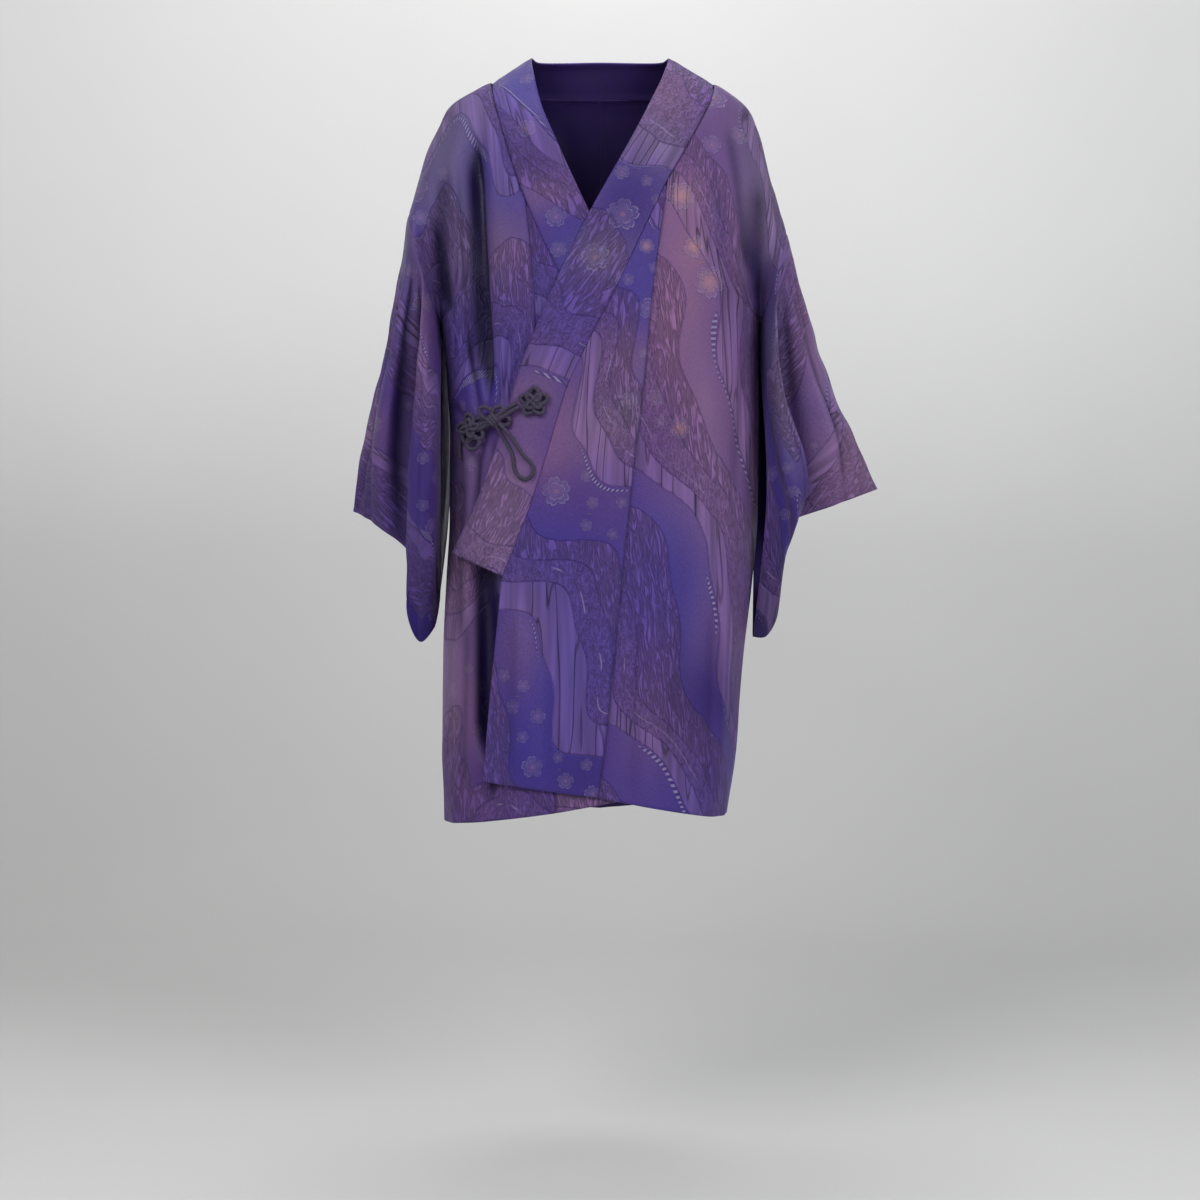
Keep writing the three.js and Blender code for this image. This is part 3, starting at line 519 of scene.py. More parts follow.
def body_grid(side, sizes):
    step = sizes.grid_step / MM
    columns = round(BODY_ACROSS / step)
    front = np.linspace(1, 0, round(BODY_DOWN[FRONT] / step))
    back = np.linspace(0, 1, round(BODY_DOWN[BACK] / step))[1:]
    places = [(FRONT, float(w)) for w in front] + [(BACK, float(w)) for w in back]
    dense = np.linspace(0, 1, ROW_DETAIL)
    grid = np.array([evened(body_row(side, face, w, dense), columns) for face, w in places])
    v = lengths(grid, 0)
    v = v[len(front) - 1] - v
    from_inner, to_outer = from_edges(grid)
    u = np.abs(grid[:, :1, 0]) + from_inner
    faces = np.array([face for face, _ in places])[:, None] * np.ones(columns)
    ws = np.array([w for _, w in places])[:, None]

    def on_faces(table):
        front, back = (pressed(table, side, face, grid[..., 0], grid[..., 2]) for face in (FRONT, BACK))
        return np.where(faces == FRONT, front, back)

    crease, fold = on_faces(CREASES), on_faces(FOLDS)
    hem = smooth(ws, HEM_START, 1)
    calm = smooth(from_inner, 0, FLAT_INNER) * smooth(to_outer, 0, FLAT_OUTER)
    under = (faces == FRONT) & (side == RIGHT) & (grid[..., 0] > COVERED_X) & (ws > COVERED_SHARE)
    covered = np.where(under, COVERED_CALM, 1.0)
    short, long = HEM_PITCHES
    ripple = HEM_RIPPLE * hem * np.sin(u / short + 2 * np.sin(u / long))
    push = (broad_waves("body", side, u, v) * covered + ripple) * calm
    seams = SEAM_DENT * bell(from_inner, SEAM_DENT_WIDTH) + SEAM_DENT * bell(to_outer, SEAM_DENT_WIDTH)
    push -= crease * calm * sizes.crease_share + seams
    hollow = np.maximum(fold, 0) + BODY_CREASE_SHADE * np.maximum(crease, 0)
    near_seam = np.maximum(bell(from_inner, SEAM_SHADE_WIDTH), 0.5 * bell(to_outer, 2))
    # painted shade: darker in the folds and creases and along the seams, carried into the colour through the
    # dye attribute's alpha
    painted_shading = in_hollow(hollow) * (1 - 0.4 * near_seam)
    return cloth_grid(grid, grid * np.array([0.3, 1, 0]), push, side * u, v, painted_shading)


def okumi_grid(side, sizes):
    step = sizes.grid_step / MM
    seam, free = OKUMI_SEAM[side], FREE_EDGE[side]
    t = np.linspace(0, 1, round(OKUMI_ACROSS / step))
    rows = []
    for w in np.linspace(OKUMI_START, 1, round(OKUMI_DOWN / step)):
        z0 = lerp(seam[0][0], seam[-1][0], w)
        x0 = float(smooth_table(seam, z0)) - side * SEAM_GAP / 2
        if w < ALONG_COLLAR:
            station = lerp(OKUMI_STATION[side], COLLAR_END[side], w / ALONG_COLLAR)
            x1, _, z1 = beside_collar(side, FRONT, station)
        else:
            z1 = lerp(free[0][0], free[-1][0], (w - ALONG_COLLAR) / (1 - ALONG_COLLAR))
            x1 = float(smooth_table(free, z1)) + side * SEAM_GAP
        rows.append(cloth_points(side, FRONT, lerp(x0, x1, t), lerp(z0, z1, t)))
    grid = np.array(rows)
    from_seam, to_free = from_edges(grid)
    u = np.abs(grid[:, :1, 0]) * np.sign(side * grid[:, :1, 0]) - from_seam
    v = -grid[..., 2]
    calm = smooth(from_seam, 0, FLAT_OKUMI) * smooth(to_free, 0, FLAT_OKUMI)
    push = broad_waves("okumi", side, u, v) * calm
    push -= pressed(CREASES, side, FRONT, grid[..., 0], grid[..., 2]) * calm * sizes.crease_share
    push -= SEAM_DENT * bell(from_seam, SEAM_DENT_WIDTH)
    # painted shade along the okumi's seam
    painted_shading = 1 - 0.4 * bell(from_seam, SEAM_SHADE_WIDTH)
    return cloth_grid(grid, grid * np.array([0, 1, 0]), push, side * u, v, painted_shading)


def collar_grid(sizes):
    count = round(COLLAR_RUN / (sizes.grid_step / MM))
    stations = np.linspace(0, len(COLLAR_STATIONS) - 1, count)
    outer, inner = collar_edge("outer", stations), collar_edge("inner", stations)
    t = np.linspace(0, 1, COLLAR_COLUMNS)
    grid = outer[:, None] + (inner - outer)[:, None] * t[None, :, None]
    nearest = np.round(stations).astype(int)
    over = np.array([row[4] for row in COLLAR_STATIONS])[nearest][:, None]
    x, z = grid[..., 0], grid[..., 2]
    lying = -cloth_depth(FRONT, x, z, np.where(over, over_lift(x, z), 0.0))
    landed = smooth(np.abs(stations - NAPE_STATION)[:, None], *COLLAR_LANDS)
    grid[..., 1] = lerp(grid[..., 1], lying, landed)
    u, v = lengths(grid, 1), lengths(grid, 0)
    v = v - v[count // 2]
    calm = smooth(t, 0, 0.2)[None] * smooth(1 - t, 0, 0.2)[None]
    push = broad_waves("collar", 0, u, v) * calm + COLLAR_PADDING * calm
    return cloth_grid(grid, grid * np.array([0.35, 1, 0]), push, u, v, np.ones(u.shape))


def sleeve_station(side, face, place, cloth, sewn):
    """A point of a sleeve's line, on the seam where the table leaves it out."""
    if place is None:
        return seam_point(side, face, math.pi * cloth / ARMHOLE_CLOTH, SLEEVE_GAP)
    x, forward, z = place
    if face == FRONT:
        return np.array([side * x, -forward, z])
    behind = forward * (1 if forward < NEAR_MIDDLE else BACK_DEPTH)
    return np.array([side * x, LAYERS_SEWN - forward if sewn else behind, z])


def sleeve_grid(side, sizes):
    step = sizes.grid_step / MM
    lines = SLEEVE_LINES[side]
    order = [(FRONT, line) for line in reversed(lines)] + [(BACK, line) for line in lines[1:]]
    cloth = [-face * line[0] for face, line in order]
    cage = np.array([
        [sleeve_station(side, face, place, line[0], line is lines[-1]) for place in line[1:]]
        for face, line in order
    ])
    down = through(cage.transpose(1, 0, 2), np.linspace(0, 1, round(SLEEVE_DOWN / step)))
    turn = np.linspace(0, 1, round(SLEEVE_ROUND / step))
    grid = through(down.transpose(1, 0, 2), turn).transpose(1, 0, 2)
    v = np.interp(turn * (len(cloth) - 1), range(len(cloth)), cloth)[None] * np.ones(grid.shape[:2])
    u = lengths(grid, 0)
    for j in np.flatnonzero(np.abs(v[0]) <= ARMHOLE_CLOTH):
        face = FRONT if v[0, j] > 0 else BACK
        seam = seam_point(side, face, math.pi * abs(v[0, j]) / ARMHOLE_CLOTH, SLEEVE_GAP)
        grid[:, j] += (seam - grid[0, j]) * (1 - smooth(u[:, j : j + 1], 0, SEAM_EASE))
    share = np.linspace(0, 1, len(grid))[:, None]
    push = broad_waves("sleeve", side, u, v)
    hollow = np.zeros(push.shape)
    for v0, s0, v1, s1, width, deep in SLEEVE_CREASES[side]:
        along = clamp01((share - s0) / (s1 - s0))
        fade = smooth(share, s0, s0 + 0.15) * (1 - 0.5 * smooth(share, s1 - 0.2, s1))
        trough = deep * fade * bell(v - lerp(v0, v1, along), width) * sizes.crease_share
        push -= trough
        hollow += SLEEVE_CREASE_SHADE * np.maximum(trough, 0)
    inner = smooth(np.abs(v), *BAG_TURN)
    push = lerp(push, BAG_CALM * push, inner) * smooth(share, 0, SLEEVE_CALM)
    push -= SLEEVE_SEAM_DENT * bell(u, SEAM_DENT_WIDTH) * (np.abs(v) < ARMHOLE_CLOTH)
    under_lobe = bell(np.abs(v) - lerp(*UNDER_LOBE, share), UNDER_LOBE_HALF) * smooth(share, 0.0, 0.3)
    # painted shade in the creases, along the armhole seam and under the lobe
    painted_shading = in_hollow(hollow) * (1 - 0.2 * bell(u, 2)) * (1 - 0.3 * under_lobe)
    return cloth_grid(grid, grid - grid.mean(axis=1, keepdims=True), push, u, v, painted_shading)


# ---- dye, painted shade and woven bands, set at the cloth's points -----------------------------

# patches of each part's side and face, of dye and one of painted shadow: x, z, half-size across and down
# (mm), colour, strength
DYE_AND_PAINTED_SHADE_PATCHES = {
    ("body", LEFT, FRONT): [
        (150, -80, 90, 80, "mauve", 0.75), (190, -180, 46, 130, "grey", 0.8),
        (110, -150, 60, 80, "purple", 0.5), (100, -230, 70, 80, "pink", 0.75),
        (96, -190, 17, 20, "coral", 0.25), (112, -255, 18, 20, "coral", 0.3),
        (135, -240, 16, 70, "violet", 0.5), (86, -330, 60, 100, "pink", 0.8),
        (124, -450, 70, 90, "pink", 0.85), (140, -500, 40, 90, "lilac", 0.16),
        (70, -470, 60, 50, "purple", 0.6), (140, -560, 60, 110, "mauve", 0.6),
        (60, -640, 60, 90, "violet", 0.95), (150, -700, 40, 60, "mauve", 0.5),
        (70, -800, 50, 60, "mauve", 0.45), (120, -770, 50, 60, "deep", 0.85),
        (110, -880, 60, 50, "violet", 0.6),
    ],
    ("body", LEFT, BACK): [
        (120, -150, 120, 130, "mauve", 0.7), (60, -330, 90, 110, "violet", 0.8),
        (150, -480, 70, 110, "pink", 0.6), (50, -620, 80, 110, "purple", 0.7),
        (130, -800, 90, 110, "violet", 0.8), (40, -880, 60, 70, "deep", 0.7),
    ],
    ("body", RIGHT, FRONT): [
        (-180, -120, 60, 90, "grey", 0.8), (-110, -160, 50, 80, "violet", 0.7),
        (-150, -260, 40, 70, "grey", 0.7), (-110, -250, 40, 40, "mauve", 0.6),
        (-160, -360, 50, 70, "violet", 0.95), (-100, -380, 40, 60, "violet", 0.9),
        (-160, -500, 50, 60, "mauve", 0.6), (-174, -620, 44, 90, "pink", 0.85),
        (-166, -760, 44, 90, "pink", 0.8), (-174, -680, 26, 180, "lilac", 0.22),
        # the deep patch at x -110, z -690 is painted shadow, where the right front folds back beside the left
        # front's free edge
        (-174, -520, 30, 60, "lilac", 0.2), (-110, -690, 30, 90, "deep", 0.8),
        (-160, -870, 60, 50, "purple", 0.7),
    ],
    ("body", RIGHT, BACK): [
        (-120, -150, 110, 110, "grey", 0.7), (-60, -320, 80, 100, "violet", 0.7),
        (-150, -440, 70, 120, "mauve", 0.7), (-60, -600, 90, 100, "purple", 0.8),
        (-140, -760, 80, 110, "violet", 0.8), (-50, -880, 70, 80, "mauve", 0.5),
    ],
    ("okumi", LEFT, FRONT): [
        (50, -300, 50, 70, "violet", 0.6), (30, -380, 50, 40, "mauve", 0.7),
        (0, -460, 90, 60, "mauve", 0.8), (-60, -470, 30, 60, "pink", 0.6),
        (30, -440, 40, 30, "grey", 0.5), (-20, -540, 70, 40, "purple", 0.5),
        (-60, -620, 70, 70, "violet", 0.95), (-20, -720, 80, 80, "violet", 0.95),
        (-90, -700, 30, 60, "mauve", 0.5), (-80, -830, 80, 60, "violet", 0.8),
        (-20, -850, 40, 40, "deep", 0.6),
    ],
    ("okumi", RIGHT, FRONT): [
        (-50, -300, 60, 70, "violet", 0.9), (-20, -500, 90, 90, "mauve", 0.7),
        (20, -700, 90, 90, "violet", 0.7), (-20, -880, 90, 60, "mauve", 0.7),
    ],
    ("collar", 0, FRONT): [
        (-100, -60, 40, 50, "violet", 0.9), (-80, -140, 40, 40, "deep", 0.8),
        (-60, -190, 40, 24, "mauve", 0.6), (-30, -250, 40, 40, "violet", 0.8),
        (80, -60, 45, 60, "mauve", 0.85), (70, -130, 40, 40, "grey", 0.6),
        (30, -190, 45, 50, "deep", 0.8), (0, -260, 40, 30, "grey", 0.6),
        (-40, -330, 45, 50, "violet", 0.75), (-76, -420, 40, 40, "mauve", 0.7),
        (-100, -520, 50, 60, "pink", 0.6), (-140, -600, 50, 50, "mauve", 0.7),
        (-126, -560, 40, 70, "coral", 0.14), (-126, -560, 50, 80, "lilac", 0.26),
    ],
    ("collar", 0, BACK): [
        (0, 0, 60, 60, "violet", 0.7),
    ],
}
# patches of each sleeve, of dye and one of painted shade: cloth from the fold, share down it, half-size of
# each, colour, strength
SLEEVE_DYE_AND_PAINTED_SHADE = {
    RIGHT: [
        (0, 0.05, 110, 0.22, "grey", 0.85), (40, 0.42, 70, 0.22, "purple", 0.8),
        (20, 0.62, 80, 0.14, "mauve", 0.75), (10, 0.95, 90, 0.18, "deep", 0.9),
        (70, 0.30, 40, 0.16, "violet", 0.5), (150, 0.20, 50, 0.22, "mauve", 0.7),
        (180, 0.55, 60, 0.16, "deep", 0.8), (190, 0.90, 80, 0.22, "violet", 0.85),
        (330, 0.50, 120, 0.6, "purple", 0.7),
    ],
    LEFT: [
        (0, 0.15, 80, 0.22, "purple", 0.8), (60, 0.30, 40, 0.25, "pink", 0.7),
        (10, 0.48, 60, 0.12, "violet", 0.6), (20, 0.85, 90, 0.25, "mauve", 0.9),
        (60, 0.80, 60, 0.30, "pink", 0.7), (40, 0.55, 70, 0.60, "lilac", 0.16),
        (170, 0.30, 60, 0.30, "grey", 0.85), (180, 0.85, 90, 0.20, "deep", 0.5),
        # the lining-coloured patch near the bag's edge is painted shade, standing in for the shaded inside of
        # the sleeve seen there
        (340, 0.50, 130, 0.6, "violet", 0.7), (480, 0.40, 100, 1.2, "lining", 0.95),
    ],
}
# clear cloth (mm) that a blossom keeps round itself
BLOSSOM_ROOM = 5.2
BLOSSOM_SIZES = [7.0, 9.5, 12.5, 17.0]
MOST_BLOSSOMS = 90
# sprays of blossoms on each piece, and how far (mm) each reaches
SPRAYS = 9
SPRAY_REACH = 42
# marks a point that no blossom covers
NO_BLOSSOM = 9.0
# piece, x, z and radius (mm) of the blossoms with a set place, and their chance: coral above 0.95
LARGE_BLOSSOMS = [
    ("collar", 24, -214, 19, 0.62), ("collar", -86, -108, 12, 0.30), ("body_left", 93, -189, 17, 0.96),
    ("body_left", 107, -250, 14, 0.97), ("body_left", 125, -290, 19, 0.98),
    ("body_left", 63, -424, 9, 0.50), ("body_left", 92, -457, 12, 0.99), ("body_left", 68, -452, 8, 0.20),
    ("okumi_left", 53, -250, 9, 0.96), ("okumi_left", 32, -428, 10, 0.55),
]
# where crepe, pleats, ground and bark start and end in each repeat of four bands
BAND_STARTS = (0, 0.75, 1.4, 3.05, 4)
CREPE, PLEATS, GROUND, BARK = range(4)
# fall of the bands in degrees, swing and its length along them, band width (all mm), shift
BAND_LAYOUT = {
    "body_left": (52, 30, 235, 50, 0.10),
    "body_right": (46, 26, 220, 48, 1.45),
    "okumi_left": (50, 30, 230, 50, 3.05),
    "okumi_right": (50, 28, 230, 50, 0.2),
    "collar": (-38, 10, 150, 56, 1.3),
    "sleeve_right": (76, 14, 210, 46, 2.35),
    "sleeve_left": (64, 18, 220, 48, 0.75),
}


def band_flow(name, u, v):
    """Band number at each point, whole numbers on the bands' edges, and each band's height there."""
    fall, wave, length, band, shift = BAND_LAYOUT[name]
    cos, sin = math.cos(math.radians(fall)), math.sin(math.radians(fall))

    def number(u, v):
        along = u * cos + v * sin
        swing = wave * np.sin(2 * math.pi * along / length + 2.4 * shift)
        swing = swing + 0.25 * wave * np.sin(2 * math.pi * along / (0.41 * length) + 5 * shift)
        level = (v * cos - u * sin + swing) / band + shift + 40
        level = level + 0.2 * np.sin(2 * math.pi * level / 3.3 + 5 * shift)
        return 4 * np.floor(level / 4) + np.interp(level % 4, BAND_STARTS, range(5))

    step = 0.5
    across = (number(u + step, v) - number(u - step, v)) / (2 * step)
    down = (number(u, v + step) - number(u, v - step)) / (2 * step)
    pitch = 1 / np.maximum(np.hypot(across, down), 1e-4)
    return number(u, v), np.minimum(pitch, 3 * band) * MM


def scattered_blossoms(name, number, pitch, points, normal):
    """Each point's place in its blossom, in radii, and that blossom's own chance."""
    draw = np.random.default_rng(5 + sum(map(ord, name)))
    share = number % 1
    room = (np.minimum(share, 1 - share) * pitch / MM).reshape(-1)
    usable = np.flatnonzero(((np.floor(number) % 4) == GROUND).reshape(-1) & (room > 9))
    points, normal = points.reshape(-1, 3), normal.reshape(-1, 3)
    middles, radii, chances = [], [], []
    for of, x, z, radius, chance in LARGE_BLOSSOMS:
        if of == name:
            off = np.hypot(points[:, 0] - x, points[:, 2] - z) + 1000 * (points[:, 1] > 0)
            middles.append(int(np.argmin(off)))
            radii.append(radius)
            chances.append(chance)
    sprays = points[draw.choice(usable, min(SPRAYS, len(usable)), replace=False)]
    for i in draw.permutation(usable)[:2400]:
        radius = min(draw.choice(BLOSSOM_SIZES), room[i] - 2.5)
        apart = np.linalg.norm(points[middles] - points[i], axis=1)
        near = np.linalg.norm(sprays - points[i], axis=1).min() < SPRAY_REACH
        if near and radius > 6 and np.all(apart > np.array(radii) + radius + 2.1 * BLOSSOM_ROOM):
            middles.append(i)
            radii.append(radius)
            chances.append(draw.uniform(0, 0.9))
        if len(middles) > MOST_BLOSSOMS:
            break
    place = np.full((len(points), 3), NO_BLOSSOM)
    for i, radius, chance in zip(middles, radii, chances):
        off = points - points[i]
        down = np.array([0.05, -0.2, -1.0])
        down -= normal[i] * normal[i].dot(down)
        down /= np.linalg.norm(down)
        across = np.cross(normal[i], down)
        on = (np.linalg.norm(off, axis=1) < radius + BLOSSOM_ROOM) & (normal @ normal[i] > 0.3)
        turned = np.stack([off @ across / radius, off @ down / radius, np.full(len(off), chance)], -1)
        place[on] = turned[on]
    return place


def patched(plain, rows, a, b, colours):
    """Dye with soft patches that run into each other, at places in a and b; some patches are painted shade.
    """
    dye = plain
    for at_a, at_b, half_a, half_b, key, strength in rows:
        amount = strength * np.exp(-(((a - at_a) / half_a) ** 2) - ((b - at_b) / half_b) ** 2)
        dye = lerp(dye, np.array(getattr(colours, key)), amount[..., None])
    return dye


def plain_dye(points, violet_share, colours):
    return np.ones(points.shape) * lerp(np.array(colours.purple), np.array(colours.violet), violet_share)


def dyed(part, side, points, colours):
    """Dye at each point of a front, back or collar, with painted shadow where a patch gives it."""
    x, y, z = points[..., 0], points[..., 1], points[..., 2]
    plain = plain_dye(points, 0.45, colours)
    front, back = (
        patched(plain, DYE_AND_PAINTED_SHADE_PATCHES.get((part, side, face), ()), x, z, colours) for face in (FRONT, BACK)
    )
    return lerp(front, back, smooth(y, -25, 25)[..., None])


def sleeve_dye_and_painted_shade(side, grid, colours):
    share = np.linspace(0, 1, len(grid["v"]))[:, None]
    plain = plain_dye(grid["points"], 0.4, colours)
    return patched(plain, SLEEVE_DYE_AND_PAINTED_SHADE[side], np.abs(grid["v"]), share, colours)


# ---- meshes ------------------------------------------------------------------------------------


def new_piece(name, mesh):
    piece = bpy.data.objects.new(name, mesh)
    bpy.context.scene.collection.objects.link(piece)
    return piece


def add_vectors(mesh, name, vectors):
    field = mesh.attributes.new(name, "FLOAT_VECTOR", "POINT")
    field.data.foreach_set("vector", vectors.astype(np.float32).reshape(-1))


def cloth_mesh(node, grid, wall, dye, materials):
    """A lined cloth with a wall, rounded at its edges, from a grid of its middle points."""
    name = node + "_cloth"
    points, u, v = grid["points"], grid["u"], grid["v"]
    rows, columns = points.shape[:2]
    count = rows * columns
    normal = outward(points, grid["away"])
    half = wall / MM / 2
    border = [(0, j) for j in range(columns)]
    border += [(i, columns - 1) for i in range(1, rows)]
    border += [(rows - 1, j) for j in range(columns - 2, -1, -1)]
    border += [(i, 0) for i in range(rows - 2, 0, -1)]
    where = tuple(np.array(border).T)
    inside = (np.clip(where[0], 1, rows - 2), np.clip(where[1], 1, columns - 2))
    push = points[where] - points[inside]
    push /= np.maximum(np.linalg.norm(push, axis=1, keepdims=True), 1e-9)
    rim = points[where] + push * half * 0.7
    layers = [(points + normal * half).reshape(-1, 3), (points - normal * half).reshape(-1, 3)]
    co = np.concatenate([*layers, rim]) * MM
    index = np.arange(count).reshape(rows, columns)
    corners = index[:-1, :-1], index[:-1, 1:], index[1:, 1:], index[1:, :-1]
    outer = np.stack(corners, -1).reshape(-1, 4)
    inner = outer[:, ::-1] + count
    edge = index[where]
    after = np.roll(edge, -1)
    ring = np.arange(len(edge)) + 2 * count
    ring_after = np.roll(ring, -1)
    rim_outer = np.stack([edge, ring, ring_after, after], -1)
    rim_inner = np.stack([ring, edge + count, after + count, ring_after], -1)
    faces = np.concatenate([outer, inner, rim_outer, rim_inner])
    lined = np.concatenate([np.zeros(len(outer)), np.ones(len(inner)), np.zeros(2 * len(edge))])
    p = co[faces]
    volume = np.einsum("ij,ij->i", p[:, 0], np.cross(p[:, 1], p[:, 2])).sum()
    volume += np.einsum("ij,ij->i", p[:, 0], np.cross(p[:, 2], p[:, 3])).sum()
    if volume < 0:
        faces = faces[:, ::-1]
    mesh = bpy.data.meshes.new(name)
    mesh.from_pydata(co.tolist(), [], faces.tolist())
    for material in materials:
        mesh.materials.append(material)
    mesh.polygons.foreach_set("material_index", lined.astype(np.int32))
    mesh.polygons.foreach_set("use_smooth", np.ones(len(faces), bool))

    def on_all(*fields):
        """Fields of the grid side by side, at the points of both layers and the rim."""
        found = []
        for field in fields:
            flat = field.reshape(count, -1)
            found.append(np.concatenate([flat, flat, field.reshape(rows, columns, -1)[where]]))
        return np.concatenate(found, 1)

    number, pitch = band_flow(node, u, v)
    uv = on_all(u, v) * MM
    layer = mesh.uv_layers.new(name="cloth")
    layer.data.foreach_set("uv", uv[faces.reshape(-1)].astype(np.float32).reshape(-1))
    add_vectors(mesh, "bands", on_all(number, pitch, u * 0))
    add_vectors(mesh, "blossom", on_all(scattered_blossoms(node, number, pitch, points, normal)))
    # the dye attribute holds the dye in its colour and the painted shade of folds, creases and seams in its
    # alpha
    dye_and_painted_shade = mesh.color_attributes.new("dye", "FLOAT_COLOR", "POINT")
    dye_and_painted_shade.data.foreach_set("color", on_all(dye, grid["painted_shading"]).astype(np.float32).reshape(-1))
    mesh.validate()
    return new_piece(name, mesh)


CORD_STRANDS = 3
CORD_SIDES = 14
# length of one full twist, and of one ring of the mesh, in diameters
CORD_TWIST = 3.2
CORD_STEP = 0.19


def cord_mesh(name, paths, diameter, material):
    """Twisted cords along paths of points in metres, in one mesh."""
    co, faces, uv = [], [], []
    for path in paths:
        path = np.asarray(path, float)
        count = max(6, round(lengths(path, 0)[-1] / (diameter * CORD_STEP)))
        line = evened(through(path, np.linspace(0, 1, 12 * len(path))), count)
        tangent = np.gradient(line, axis=0)
        tangent /= np.linalg.norm(tangent, axis=1, keepdims=True)
        side = np.cross(tangent[0], [0.31, 0.17, 0.93])
        side /= np.linalg.norm(side)
        start = len(co)
        run = lengths(line, 0)
        for i in range(count):
            side = side - tangent[i] * side.dot(tangent[i])
            side /= np.linalg.norm(side)
            other = np.cross(tangent[i], side)
            end = min(run[i], run[-1] - run[i]) / (diameter / 2)
            tip = math.sqrt(min(1.0, 0.25 + end))
            for k in range(CORD_SIDES):
                angle = 2 * math.pi * k / CORD_SIDES
                twist = CORD_STRANDS * (angle - 2 * math.pi * run[i] / (diameter * CORD_TWIST))
                radius = diameter / 2 * (0.86 + 0.14 * abs(math.cos(twist / 2)) ** 0.7) * tip
                co.append(line[i] + radius * (math.cos(angle) * side + math.sin(angle) * other))
                uv.append((k / CORD_SIDES, run[i]))
        for i in range(count - 1):
            for k in range(CORD_SIDES):
                a, b = start + i * CORD_SIDES + k, start + i * CORD_SIDES + (k + 1) % CORD_SIDES
                faces.append((a, b, b + CORD_SIDES, a + CORD_SIDES))
        faces.append(tuple(start + k for k in range(CORD_SIDES - 1, -1, -1)))
        faces.append(tuple(start + (count - 1) * CORD_SIDES + k for k in range(CORD_SIDES)))
    mesh = bpy.data.meshes.new(name)
    mesh.from_pydata([tuple(p) for p in co], [], faces)
    mesh.materials.append(material)
    mesh.polygons.foreach_set("use_smooth", np.ones(len(faces), bool))
    layer = mesh.uv_layers.new(name="cord")
    loops = np.zeros(len(mesh.loops), np.int32)
    mesh.loops.foreach_get("vertex_index", loops)
    layer.data.foreach_set("uv", np.array(uv, np.float32)[loops].reshape(-1))
    return new_piece(name, mesh)


# ---- materials ---------------------------------------------------------------------------------


class Signal:
    """A node's output. Arithmetic with it adds math nodes."""

    def __init__(self, tree, socket):
        self.tree, self.socket = tree, socket

    def __add__(self, other):
        return self.tree.math("ADD", self, other)

    def __sub__(self, other):
        return self.tree.math("SUBTRACT", self, other)

    def __rsub__(self, other):
        return self.tree.math("SUBTRACT", other, self)

    def __mul__(self, other):
        return self.tree.math("MULTIPLY", self, other)

    def __truediv__(self, other):
        return self.tree.math("DIVIDE", self, other)

    def __abs__(self):
        return self.tree.math("ABSOLUTE", self)

    def scaled(self, factor, plus):
        return self.tree.math("MULTIPLY_ADD", self, factor, plus)


class Tree:
    """Short ways to add nodes to a node tree."""

    def __init__(self, tree):
        self.tree = tree

    def node(self, kind, values=(), **settings):
        node = self.tree.nodes.new(kind)
        for key, value in settings.items():
            setattr(node, key, value)
        for key, value in dict(values).items():
            self.put(node.inputs[key], value)
        return node

    def out(self, key, kind, values=(), **settings):
        """One output of a new node."""
        return Signal(self, self.node(kind, values, **settings).outputs[key])

    def put(self, socket, value):
        if isinstance(value, Signal):
            self.tree.links.new(value.socket, socket)
        else:
            socket.default_value = value

    def math(self, operation, a, b=0.0, c=0.0):
        return self.out(0, "ShaderNodeMath", {0: a, 1: b, 2: c}, operation=operation)

    def sine(self, value):
        return self.math("SINE", value)

    def split(self, vector):
        node = self.node("ShaderNodeSeparateXYZ", {0: vector})
        return [Signal(self, output) for output in node.outputs]

    def join(self, x, y, z):
        return self.out(0, "ShaderNodeCombineXYZ", {0: x, 1: y, 2: z})

    def scale(self, vector, by):
        return self.out(0, "ShaderNodeVectorMath", {0: vector, "Scale": by}, operation="SCALE")

    def mix(self, factor, a, b):
        return self.out(2, "ShaderNodeMix", {0: factor, 6: a, 7: b}, data_type="RGBA")

    def blend(self, factor, a, b):
        return self.out(0, "ShaderNodeMix", {0: factor, 2: a, 3: b}, data_type="FLOAT")

    def ramp(self, value, low, high, start=0.0, end=1.0):
        values = {0: value, 1: low, 2: high, 3: start, 4: end}
        return self.out(0, "ShaderNodeMapRange", values, interpolation_type="SMOOTHSTEP")

    def noise(self, vector, scale, detail=2.0, roughness=0.5, distortion=0.0):
        values = {"Vector": vector, "Scale": scale, "Detail": detail, "Roughness": roughness}
        values["Distortion"] = distortion
        return self.out("Fac", "ShaderNodeTexNoise", values)

    def ridge(self, value):
        """1 where a noise is near its middle, falling away on both sides."""
        return self.ramp(abs(value - 0.5), 0.0, 0.16, 1.0, 0.0)

    def near(self, value, middle, half, soft):
        """1 where a value is within half of a middle, with soft ends."""
        low, high = (self.math("ADD", half, by) for by in (-soft, soft))
        return self.ramp(abs(value - middle), low, high, 1.0, 0.0)

    def is_number(self, value, number):
        return self.out(0, "ShaderNodeMath", {0: value, 1: number, 2: 0.5}, operation="COMPARE")

    def bump(self, height, strength, distance):
        values = {"Height": height, "Strength": strength, "Distance": distance}
        return self.out(0, "ShaderNodeBump", values)

    def attribute(self, name, key="Vector"):
        return self.out(key, "ShaderNodeAttribute", attribute_name=name)

    def group(self, name, **inputs):
        """All outputs of a node group, by name."""
        node = self.node("ShaderNodeGroup", inputs, node_tree=bpy.data.node_groups[name])
        return {output.name: Signal(self, output) for output in node.outputs}


